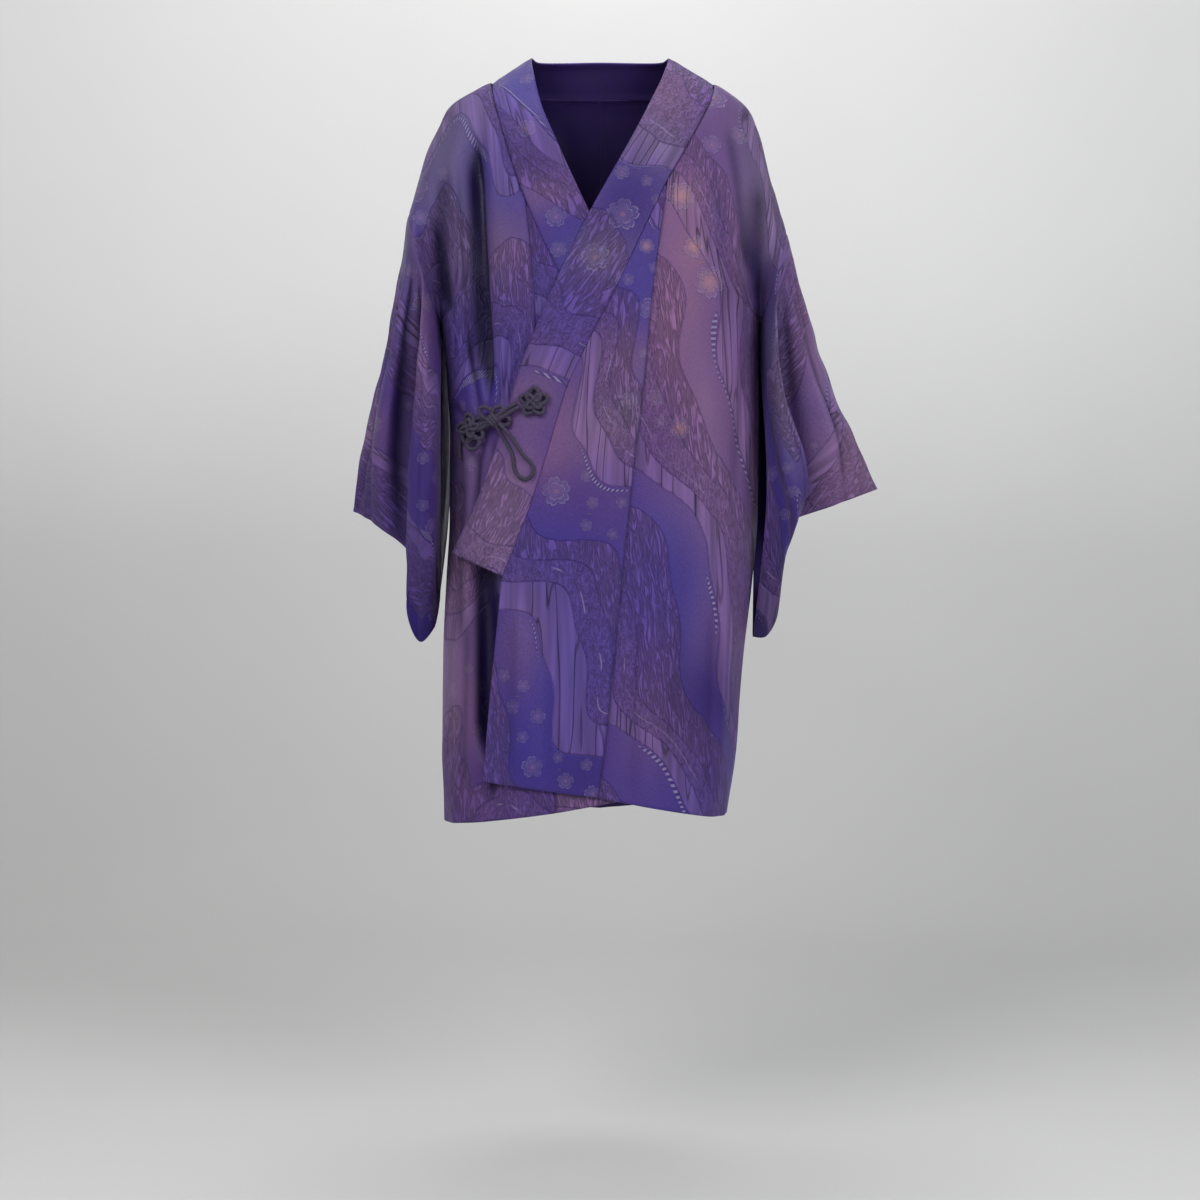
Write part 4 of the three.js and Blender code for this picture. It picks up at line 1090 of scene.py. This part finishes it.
def new_group(name, inputs, outputs):
    """A node group's tree, what it is given by name, and a way to give its outputs."""
    group = bpy.data.node_groups.new(name, "ShaderNodeTree")
    for label, kind in inputs.items():
        group.interface.new_socket(label, in_out="INPUT", socket_type="NodeSocket" + kind)
    for label in outputs:
        group.interface.new_socket(label, in_out="OUTPUT", socket_type="NodeSocketFloat")
    tree = Tree(group)
    source = tree.node("NodeGroupInput")
    given = {label: Signal(tree, source.outputs[label]) for label in inputs}
    result = tree.node("NodeGroupOutput").inputs

    def give(label, value):
        tree.put(result[label], value)

    return tree, given, give


BAND_NAMES = {"Crepe": CREPE, "Pleats": PLEATS, "Ground": GROUND, "Bark": BARK}
BAND_LINES = ("Edge", "Rope", "Hatch", "Hairline")
# where the lines along the bands lie and how wide they are, in metres
EDGE_FADE = (0.0004, 0.0017)
ROPE_MIDDLE, ROPE_HALF, ROPE_SOFT = 0.0056, (-0.0010, 0.0044), 0.0004
HATCH_PITCH = 0.0062
HAIRLINE_MIDDLE, HAIRLINE_HALF, HAIRLINE_SOFT = 0.013, 0.0005, 0.0003
WARP_PITCH, WEFT_PITCH = 0.0011, 0.0009


def woven_bands():
    """Masks of the woven bands and the lines along them."""
    inputs = {"Cloth": "Vector", "Bands": "Vector"}
    tree, given, give = new_group("Woven bands", inputs, (*BAND_NAMES, *BAND_LINES))
    cloth = given["Cloth"]
    number, pitch, _ = tree.split(given["Bands"])
    number = number + tree.noise(cloth, 14.0, 1.0).scaled(0.16, -0.08)
    share = tree.math("FRACT", number)
    kind = tree.math("FLOORED_MODULO", tree.math("FLOOR", number), 4.0)
    on = {label: tree.is_number(kind, float(of)) for label, of in BAND_NAMES.items()}
    for label in BAND_NAMES:
        give(label, on[label])
    below = share * pitch
    above = (1.0 - share) * pitch
    give("Edge", tree.ramp(tree.math("MINIMUM", below, above), *EDGE_FADE, 1.0, 0.0))
    swell = tree.ramp(tree.noise(cloth, 7.0, 1.0), 0.42, 0.66, *ROPE_HALF)
    rope = tree.near(below, ROPE_MIDDLE, swell, ROPE_SOFT) * on["Ground"]
    give("Rope", rope)
    u, v, _ = tree.split(cloth)
    diagonal = (u + v) * (2 * math.pi / HATCH_PITCH)
    give("Hatch", rope * tree.ramp(tree.sine(diagonal), -0.35, 0.35))
    thin = tree.near(above, HAIRLINE_MIDDLE, HAIRLINE_HALF, HAIRLINE_SOFT)
    broken = tree.ramp(tree.noise(cloth, 24.0, 2.0), 0.50, 0.56)
    give("Hairline", thin * broken * on["Crepe"])


def crinkles():
    """Heights of the crepe's fine crinkle, the bark-like crinkle, the pressed pleats and the weave."""
    outputs = ("Crepe", "Bark", "Pleats", "Weave", "Grain")
    tree, given, give = new_group("Crinkles", {"Cloth": "Vector", "Seed": "Float"}, outputs)
    u, v, _ = tree.split(given["Cloth"])
    seed = given["Seed"]

    def stretched(across, along, detail, roughness=0.5, distortion=0.0, lean=0.0):
        place = tree.join(v.scaled(lean, u) * across, v * along, seed)
        return tree.noise(place, 1.0, detail, roughness, distortion)

    fine = tree.ridge(stretched(310.0, 120.0, 2.0, 0.55, 0.6))
    give("Crepe", stretched(120.0, 60.0, 2.0, 0.5, 0.4).scaled(0.6, fine * 0.45))
    wrinkle = tree.ridge(stretched(190.0, 38.0, 2.0, 0.5, 0.9, -0.12))
    veins = stretched(380.0, 80.0, 1.0, 0.5, 0.8, -0.12)
    give("Bark", veins.scaled(0.52, wrinkle.scaled(-0.72, 0.72)))
    give("Grain", stretched(520.0, 420.0, 2.0))
    groove = tree.ramp(abs(stretched(54.0, 4.0, 1.0, 0.5, 0.25) - 0.5), 0.0, 0.020, -0.62, 0.0)
    give("Pleats", stretched(120.0, 7.0, 1.0).scaled(1.5, groove - 0.05))
    warp = tree.sine(u * (2 * math.pi / WARP_PITCH))
    weft = tree.sine(v * (2 * math.pi / WEFT_PITCH))
    give("Weave", (warp * weft).scaled(0.3, tree.noise(tree.join(u, v, seed), 900.0, 1.0)))


def blossoms():
    """Five-petalled blossoms at their places on the cloth, each turned by its own chance."""
    outputs = ("Petals", "Outline", "Heart", "Veins", "Golden")
    tree, given, give = new_group("Blossoms", {"Place": "Vector"}, outputs)
    x, y, chance = tree.split(given["Place"])
    angle = tree.math("ARCTAN2", y, x) + chance * (2 * math.pi)
    lobe = abs(tree.math("COSINE", angle * 2.5))
    outline = tree.math("POWER", lobe, 0.5).scaled(0.42, 0.58) - tree.ramp(lobe, 0.95, 1.0, 0.0, 0.12)
    radius = tree.math("SQRT", x * x + y * y)
    share = radius / outline
    inside = tree.math("LESS_THAN", chance, 1.0)
    give("Petals", tree.ramp(share, 0.97, 1.02, 1.0, 0.0) * inside)
    rays = abs(tree.sine(angle * 8.0)).scaled(0.5, 0.5)
    coral = tree.math("GREATER_THAN", chance, 0.95) * inside
    give("Golden", coral * (tree.ramp(radius, 0.15, 1.0, 1.0, 0.0) * rays))
    double = tree.near(share, 0.60, 0.045, 0.025) * tree.math("GREATER_THAN", chance, 0.45)
    give("Outline", tree.math("MAXIMUM", tree.near(share, 0.97, 0.055, 0.03), double) * inside)
    give("Heart", tree.ramp(radius, 0.12, 0.20, 1.0, 0.0) * inside)
    fine = tree.ramp(abs(tree.sine(angle * 12.5)), 0.9, 1.0)
    give("Veins", tree.near(radius, 0.36, 0.16, 0.04) * fine * inside)


def new_material(name):
    material = bpy.data.materials.new(name)
    material.use_nodes = True
    return material, Tree(material.node_tree), material.node_tree.nodes["Principled BSDF"]


def rgba(colour):
    return (*colour[:3], 1.0)


def silk(name, seed, colours, sizes):
    """Dyed silk: crinkled, pleated and smooth bands with lines, ropes and blossoms woven in, with painted
    light and shade on the crinkles and painted shade in the folds.
    """
    material, tree, shader = new_material(name)
    cloth = tree.out(0, "ShaderNodeUVMap", uv_map="cloth")
    mask = tree.group("Woven bands", Cloth=cloth, Bands=tree.attribute("bands"))
    height = tree.group("Crinkles", Cloth=cloth, Seed=seed)
    motif = tree.group("Blossoms", Place=tree.attribute("blossom"))
    ground = mask["Ground"]
    lace = mask["Crepe"] * height["Crepe"] + mask["Bark"] * height["Bark"] + mask["Pleats"] * height["Pleats"]

    colour = tree.attribute("dye", "Color")
    for share, key in (
        (tree.noise(cloth, 9.0, 3.0, 0.55, 0.6) * 0.30, "violet"),
        ((1.0 - ground) * 0.22, "mauve"),
        (mask["Pleats"] * 0.05, "lilac"),
    ):
        colour = tree.mix(share, colour, rgba(getattr(colours, key)))
    # painted light on the crinkles' ridges and painted shade in their valleys and in the pleats' grooves,
    # following the relief's heights
    painted_shading = tree.blend(ground, lace.scaled(0.88, 0.42), height["Grain"].scaled(0.5, 0.66))
    colour = tree.scale(colour, painted_shading)
    faded = tree.ramp(tree.noise(cloth, 46.0, 1.0), 0.34, 0.62, 0.08, 0.36)
    for share, key in (
        (motif["Petals"] * 0.08, "lilac"),
        (motif["Golden"] * 0.42, "coral"),
        (motif["Outline"] * faded, "lilac"),
        ((motif["Heart"] + motif["Veins"]) * 0.20, "coral"),
        (mask["Edge"] * 0.28, "deep"),
        (mask["Rope"] * 0.40, "deep"),
        (mask["Hatch"] * 0.55, "lilac"),
        (mask["Hairline"] * 0.45, "lilac"),
    ):
        colour = tree.mix(share, colour, rgba(getattr(colours, key)))
    # painted shade: the dye attribute's alpha darkens the colour towards a painted shadow colour in folds,
    # creases, seams and under the lobe
    painted_shadow = tuple(0.3 * value for value in colours.deep)
    colour = tree.mix(tree.attribute("dye", "Alpha"), rgba(painted_shadow), colour)
    tree.put(shader.inputs["Base Color"], colour)

    rough = tree.blend(ground, 0.60, 0.44) + (height["Weave"] - 0.5) * 0.10
    tree.put(shader.inputs["Roughness"], rough)
    shader.inputs["Sheen Weight"].default_value = 0.07
    shader.inputs["Sheen Roughness"].default_value = 0.38
    shader.inputs["Sheen Tint"].default_value = (0.70, 0.62, 0.92, 1)
    shader.inputs["Specular IOR Level"].default_value = 0.24

    embossed = motif["Outline"] * 0.4 + mask["Hatch"] * 0.6 + mask["Edge"] * -0.35
    relief = lace + ground * height["Grain"] * 0.35 + height["Weave"] * 0.06 + embossed
    tree.put(shader.inputs["Normal"], tree.bump(relief, 0.9, sizes.crepe_relief))
    return material


def lining_silk(colours):
    """Plain dark lining with a faint weave."""
    material, tree, shader = new_material("Dark lining")
    cloth = tree.out(0, "ShaderNodeUVMap", uv_map="cloth")
    cloud = tree.noise(cloth, 24.0, 3.0) * 0.6
    tree.put(shader.inputs["Base Color"], tree.mix(cloud, rgba(colours.lining), rgba(colours.deep)))
    weave = tree.noise(cloth, 800.0, 1.0)
    tree.put(shader.inputs["Roughness"], tree.ramp(weave, 0.2, 0.8, 0.42, 0.55))
    tree.put(shader.inputs["Normal"], tree.bump(weave, 0.3, 0.0003))
    shader.inputs["Sheen Weight"].default_value = 0.02
    shader.inputs["Specular IOR Level"].default_value = 0.15
    return material


THREADS_ROUND = 27
# painted shade of the grooves between the cord's strands
GROOVE_PAINTED_SHADE = (0.012, 0.01, 0.018, 1)


def twisted_silk(colours, sizes):
    """Charcoal violet silk cord with fine threads along its strands and painted shade in the grooves between
    them.
    """
    material, tree, shader = new_material("Twisted silk cord")
    around, run, _ = tree.split(tree.out(0, "ShaderNodeUVMap", uv_map="cord"))
    turned = around - run / (sizes.cord_diameter * CORD_TWIST)
    threads = tree.sine(turned * (2 * math.pi * THREADS_ROUND))
    # painted shade: darker where the strands meet in their grooves
    groove = abs(tree.sine(turned * (CORD_STRANDS * math.pi)))
    groove = tree.ramp(groove, 0.0, 0.55, 1.0, 0.0) * 0.7
    colour = tree.mix(threads.scaled(0.15, 0.2), rgba(colours.cord), rgba(colours.grey))
    tree.put(shader.inputs["Base Color"], tree.mix(groove, colour, GROOVE_PAINTED_SHADE))
    tree.put(shader.inputs["Roughness"], tree.ramp(threads, -1.0, 1.0, 0.72, 0.58))
    tree.put(shader.inputs["Normal"], tree.bump(threads, 0.5, 0.0002))
    shader.inputs["Sheen Weight"].default_value = 0.03
    shader.inputs["Specular IOR Level"].default_value = 0.3
    return material


def stage_paint():
    """Matt grey-white paper of the floor and the backdrop, with painted shade darker towards the bottom and
    painted light towards the front.
    """
    material, tree, shader = new_material("Studio paper")
    where = tree.out("Object", "ShaderNodeTexCoord")
    _, forward, up = tree.split(where)
    # painted shade and light: the paper is darker lower down and lighter nearer the camera
    light = tree.ramp(up, -1.2, 0.2, 0.70, 1.0) + tree.ramp(forward, 1.0, -1.0, 0.0, 0.25)
    colour = tree.mix(tree.noise(where, 1.6, 2.0), (0.66, 0.66, 0.655, 1), (0.72, 0.72, 0.715, 1))
    tree.put(shader.inputs["Base Color"], tree.scale(colour, light))
    shader.inputs["Roughness"].default_value = 0.9
    return material


# ---- cords -------------------------------------------------------------------------------------

COLLAR_KNOT = (-74, -428)
FRONT_KNOT = (-147, -455)
BOW = (-119, -447)
# heights of the cords' middles over the front's cloth, on the collar and on the right front
COLLAR_LIFT = 5.5
UNDER_LIFT = 1.1
# thickness of the cord where it is knotted, as a share of the hanging loop's
KNOTTED = 1.14
# x, z and height over the cloth (mm) of the tie's hanging loop
TIE_ROUTE = [
    (-116.5, -453.2, 8), (-112.5, -461, 6.5), (-108, -470, 5), (-103, -479, 4.4),
    (-99, -488, 4.4), (-97.5, -496, 4.4), (-96.5, -504, 4.4), (-92, -512, 4.4),
    (-84, -516, 4.4), (-76.5, -512, 4.4), (-75, -504, 4.4), (-79, -496, 4.4),
    (-86, -489, 4.6), (-91.5, -481, 5), (-96.5, -473, 6.5), (-102, -464, 8.8),
    (-108, -456, 10.4), (-111.5, -451.5, 11.4),
]
# the same for the links to the collar's knot, the bridges to the front's knot and the cord's tail
LINKS = [
    [(-121, -447, 7), (-112, -441, 7.8), (-103, -434.5, 7.2), (-93, -429, 6)],
    [(-119, -451, 6.2), (-109, -445, 7.4), (-100, -439, 7), (-90, -433, 6)],
]
BRIDGES = [
    [(-150, -452, 2.5), (-140, -452, 4), (-130, -450, 5), (-121, -448, 6.5)],
    [(-146, -459, 2.5), (-137, -457, 4), (-128, -453, 5), (-119, -450, 6.0)],
]
TAIL = [(-156, -457, 3), (-160, -463, 1.8), (-163, -471, 0.6), (-164, -480, 0), (-163, -489, -0.5)]
# rings of the knot and the bow: middle, height, half-width, half-height, lean
RINGS = [
    (FRONT_KNOT, 3, -17, UNDER_LIFT + 3.2, 7.4, 7.4, 0.4),
    (BOW, -9, 8, COLLAR_LIFT, 9, 5.8, -0.7),
    (BOW, 10, -1, COLLAR_LIFT, 8.4, 5.6, -0.3),
    (BOW, 4, 8, COLLAR_LIFT + 1.5, 7.4, 5.2, 0.9),
]


def on_front(x, z, out):
    """A point that far out from the over front's cloth, in millimetres."""
    step = 2.0

    def at(dx, dz):
        return cloth_points(LEFT, FRONT, np.array(x + dx), np.array(z + dz))

    normal = np.cross(at(step, 0) - at(-step, 0), at(0, step) - at(0, -step))
    normal /= np.linalg.norm(normal)
    if normal[1] > 0:
        normal = -normal
    return at(0, 0) + normal * out


def route(points):
    return [on_front(*point) * MM for point in points]


def petal_loops(middle, lift, petals, reach, turn, narrow=32, rise=1.6):
    """Path of a flower knot: one cord that goes out and back once for each petal."""
    path = []
    for k in range(petals):
        angle = turn + 2 * math.pi * k / petals
        for off, out, up in (
            (-50, 0.22, rise), (-narrow, 0.66, rise * 0.6), (-8, 0.98, 0.2), (8, 0.98, -0.2),
            (narrow, 0.66, -rise * 0.6), (50, 0.22, -rise),
        ):
            a = angle + math.radians(off)
            x, z = middle[0] + reach * out * math.cos(a), middle[1] + reach * out * math.sin(a)
            path.append((x, z, lift + up))
    return path + path[:2]


def leaning(middle, x, z, lean):
    """A place from a middle, turned by the lean."""
    return (
        middle[0] + x * math.cos(lean) - z * math.sin(lean),
        middle[1] + x * math.sin(lean) + z * math.cos(lean),
    )


def ring_path(knot, right, up, lift, wide, high, lean):
    """Path of a ring that lies on the front."""
    middle = (knot[0] + right, knot[1] + up)
    count = 14
    angles = [2 * math.pi * k / count for k in range(count + 1)]
    return [(*leaning(middle, wide * math.cos(a), high * math.sin(a), lean), lift) for a in angles]


def wrap_path(middle, lift, radius, lean, turns, pitch):
    """Path of a cord wound round the links where they meet."""
    path = []
    count = round(12 * turns)
    for k in range(count + 1):
        a = 2 * math.pi * turns * k / count
        place = leaning(middle, pitch * (k / count - 0.5), radius * math.cos(a), lean)
        path.append((*place, lift + 0.62 * radius * math.sin(a)))
    return path


# ---- stage -------------------------------------------------------------------------------------

CAMERA_DISTANCE = 2.0
SENSOR_WIDTH = 36
# width of the view at the coat, and height of its middle
VIEW_WIDTH = 1.452
VIEW_MIDDLE = -0.6534
FLOOR_Z, WALL_Y, FLOOR_BEND = -1.33, 2.0, 0.8
FLOOR_FRONT, WALL_TOP, HALF_STAGE = -4.5, 3.2, 5
BEND_STEPS = 12
# name, place, aim, size, power, colour
LIGHTS = [
    ("key light", (-1.6, -2.2, 1.6), (0, 0, -0.5), 1.7, 56, (1.0, 0.985, 0.97)),
    ("fill light", (1.9, -2.2, 0.7), (0, 0, -0.6), 1.8, 50, (0.97, 0.98, 1.0)),
    ("wall light", (0.0, 0.5, 2.5), (0, 2.0, 0.1), 1.8, 42, (1.0, 1.0, 0.99)),
]
SKY = (0.96, 0.97, 1.0, 1)
SKY_STRENGTH = 0.36


def add_camera(scene):
    data = bpy.data.cameras.new("Camera")
    data.sensor_width = SENSOR_WIDTH
    data.lens = SENSOR_WIDTH * CAMERA_DISTANCE / VIEW_WIDTH
    camera = bpy.data.objects.new("Camera", data)
    camera.location = (0, -CAMERA_DISTANCE, VIEW_MIDDLE)
    camera.rotation_euler = (math.pi / 2, 0, 0)
    scene.collection.objects.link(camera)
    scene.camera = camera
    scene.view_settings.view_transform = "Standard"


def add_backdrop():
    """A floor that bends up into a wall."""
    profile = [(FLOOR_FRONT, FLOOR_Z), (WALL_Y - FLOOR_BEND, FLOOR_Z)]
    for k in range(1, BEND_STEPS + 1):
        a = math.pi / 2 * k / BEND_STEPS
        y = WALL_Y - FLOOR_BEND + FLOOR_BEND * math.sin(a)
        profile.append((y, FLOOR_Z + FLOOR_BEND - FLOOR_BEND * math.cos(a)))
    profile.append((WALL_Y, WALL_TOP))
    co = [(x, y, z) for x in (-HALF_STAGE, HALF_STAGE) for y, z in profile]
    n = len(profile)
    faces = [(k, k + n, k + n + 1, k + 1) for k in range(n - 1)]
    mesh = bpy.data.meshes.new("backdrop")
    mesh.from_pydata(co, [], faces)
    mesh.polygons.foreach_set("use_smooth", [True] * len(faces))
    mesh.materials.append(stage_paint())
    new_piece("backdrop", mesh)


def add_lights(scene):
    """The area lights, and the even light from all round."""
    for name, place, aim, size, power, colour in LIGHTS:
        data = bpy.data.lights.new(name, "AREA")
        data.shape, data.size, data.energy, data.color = "DISK", size, power, colour
        light = bpy.data.objects.new(name, data)
        light.location = place
        x, y, z = np.array(aim) - np.array(place)
        light.rotation_euler = (math.pi / 2 + math.atan2(z, math.hypot(x, y)), 0, -math.atan2(x, y))
        scene.collection.objects.link(light)
    world = scene.world or bpy.data.worlds.new("World")
    scene.world = world
    world.use_nodes = True
    background = world.node_tree.nodes["Background"]
    background.inputs["Color"].default_value = SKY
    background.inputs["Strength"].default_value = SKY_STRENGTH


# ---- operators ---------------------------------------------------------------------------------


def settings(context):
    return context.scene.coat_sizes, context.scene.coat_colours


def dress(piece, node):
    """The piece stands for its node, on the coat's one body."""
    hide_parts(node)
    "cord" if node in ("knot_collar", "knot_front", "tie_loop") else node
    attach(piece, "root")
    return piece


def add_cloth(node, label, seed, grid, dye, wall, context):
    """A cloth piece of dyed silk with the shared lining, in its node's place."""
    sizes, colours = settings(context)
    if "Woven bands" not in bpy.data.node_groups:
        woven_bands()
        crinkles()
        blossoms()
    face = silk("Dyed silk, " + label, seed, colours, sizes)
    lining = bpy.data.materials.get("Dark lining") or lining_silk(colours)
    return dress(cloth_mesh(node, grid, wall, dye, [face, lining]), node)


class COAT_OT_stage(bpy.types.Operator):
    """Adds the camera, the lights, the floor and the backdrop"""

    bl_idname = "coat.stage"
    bl_label = "Stage"

    def execute(self, context):
        add_camera(context.scene)
        add_backdrop()
        add_lights(context.scene)
        return {"FINISHED"}


class COAT_OT_cords(bpy.types.Operator):
    """Adds the tie's hanging loop and the two ornamental knots"""

    bl_idname = "coat.cords"
    bl_label = "Cords"

    def execute(self, context):
        sizes, colours = settings(context)
        material = twisted_silk(colours, sizes)
        thick = sizes.cord_diameter
        path = route(TIE_ROUTE)
        line = through(path, np.linspace(0, 1, 160))
        loop = cord_mesh("tie_loop_cord", [path], thick, material)
        dress(loop, "tie_loop")
        paths = [
            route(petal_loops(COLLAR_KNOT, COLLAR_LIFT, 5, 15.6, 0.3)),
            route(petal_loops(COLLAR_KNOT, COLLAR_LIFT + 2.6, 4, 9.4, 0.8, 26, 1.0)),
        ]
        dress(cord_mesh("collar_knot_cord", paths, thick * KNOTTED, material), "knot_collar")
        paths = [
            route(petal_loops(FRONT_KNOT, UNDER_LIFT + 2.0, 5, 17.0, 0.55)),
            route(petal_loops(FRONT_KNOT, UNDER_LIFT + 4.8, 4, 10.0, 0.2, 26, 1.0)),
            *[route(ring_path(*ring)) for ring in RINGS],
            route(wrap_path(BOW, COLLAR_LIFT, 5.8, 0.6, 3, 10)),
            *[route(points) for points in (TAIL, *LINKS, *BRIDGES)],
        ]
        dress(cord_mesh("front_knot_cord", paths, thick * KNOTTED, material), "knot_front")
        return {"FINISHED"}


class COAT_OT_bodies(bpy.types.Operator):
    """Adds the two bodies, each from its front hem over the shoulder to its back hem"""

    bl_idname = "coat.bodies"
    bl_label = "Bodies"

    def execute(self, context):
        sizes, colours = settings(context)
        for side, name in SIDE_NAME.items():
            grid = body_grid(side, sizes)
            dye = dyed("body", side, grid["points"], colours)
            node = "body_" + name
            piece = add_cloth(node, name + " body", 3.1 + side, grid, dye, sizes.cloth_wall, context)
        return {"FINISHED"}


class COAT_OT_okumi(bpy.types.Operator):
    """Adds the two front overlap panels"""

    bl_idname = "coat.okumi"
    bl_label = "Overlap panels"

    def execute(self, context):
        sizes, colours = settings(context)
        for side, name in SIDE_NAME.items():
            grid = okumi_grid(side, sizes)
            dye = dyed("okumi", side, grid["points"], colours)
            node = "okumi_" + name
            piece = add_cloth(node, name + " overlap", 7.7 + side, grid, dye, sizes.cloth_wall, context)
        return {"FINISHED"}


class COAT_OT_collar(bpy.types.Operator):
    """Adds the collar band"""

    bl_idname = "coat.collar"
    bl_label = "Collar"

    def execute(self, context):
        sizes, colours = settings(context)
        grid = collar_grid(sizes)
        dye = dyed("collar", 0, grid["points"], colours)
        piece = add_cloth("collar", "collar", 12.4, grid, dye, sizes.collar_wall, context)
        return {"FINISHED"}


class COAT_OT_sleeves(bpy.types.Operator):
    """Adds the two bag sleeves"""

    bl_idname = "coat.sleeves"
    bl_label = "Sleeves"

    def execute(self, context):
        sizes, colours = settings(context)
        for side, name in SIDE_NAME.items():
            grid = sleeve_grid(side, sizes)
            dye = sleeve_dye_and_painted_shade(side, grid, colours)
            node = "sleeve_" + name
            piece = add_cloth(node, name + " sleeve", 17.9 + side, grid, dye, sizes.cloth_wall, context)
        return {"FINISHED"}


class COAT_PT_panel(bpy.types.Panel):
    """Lists the coat's pieces in the sidebar"""

    bl_label = "Kimono coat"
    bl_idname = "COAT_PT_panel"
    bl_space_type = "VIEW_3D"
    bl_region_type = "UI"
    bl_category = "Kimono coat"

    def draw(self, context):
        layout = self.layout
        for operator in OPERATORS:
            layout.operator(operator.bl_idname)
        for group, names in (
            (context.scene.coat_sizes, CoatSizes.__annotations__),
            (context.scene.coat_colours, CoatColours.__annotations__),
        ):
            box = layout.box()
            for name in names:
                box.prop(group, name)


OPERATORS = (
    COAT_OT_stage,
    COAT_OT_cords,
    COAT_OT_bodies,
    COAT_OT_okumi,
    COAT_OT_collar,
    COAT_OT_sleeves,
)
CLASSES = (CoatSizes, CoatColours, *OPERATORS, COAT_PT_panel)


def register():
    for cls in CLASSES:
        bpy.utils.register_class(cls)
    bpy.types.Scene.coat_sizes = PointerProperty(type=CoatSizes)
    bpy.types.Scene.coat_colours = PointerProperty(type=CoatColours)


def unregister():
    del bpy.types.Scene.coat_colours
    del bpy.types.Scene.coat_sizes
    for cls in reversed(CLASSES):
        bpy.utils.unregister_class(cls)


def main():
    register()
    bpy.ops.object.select_all(action="DESELECT")
    bpy.ops.coat.stage()
    bpy.ops.coat.cords()
    bpy.ops.coat.sleeves()
    bpy.ops.coat.bodies()
    bpy.ops.coat.okumi()
    bpy.ops.coat.collar()


if __name__ == "__main__":
    main()
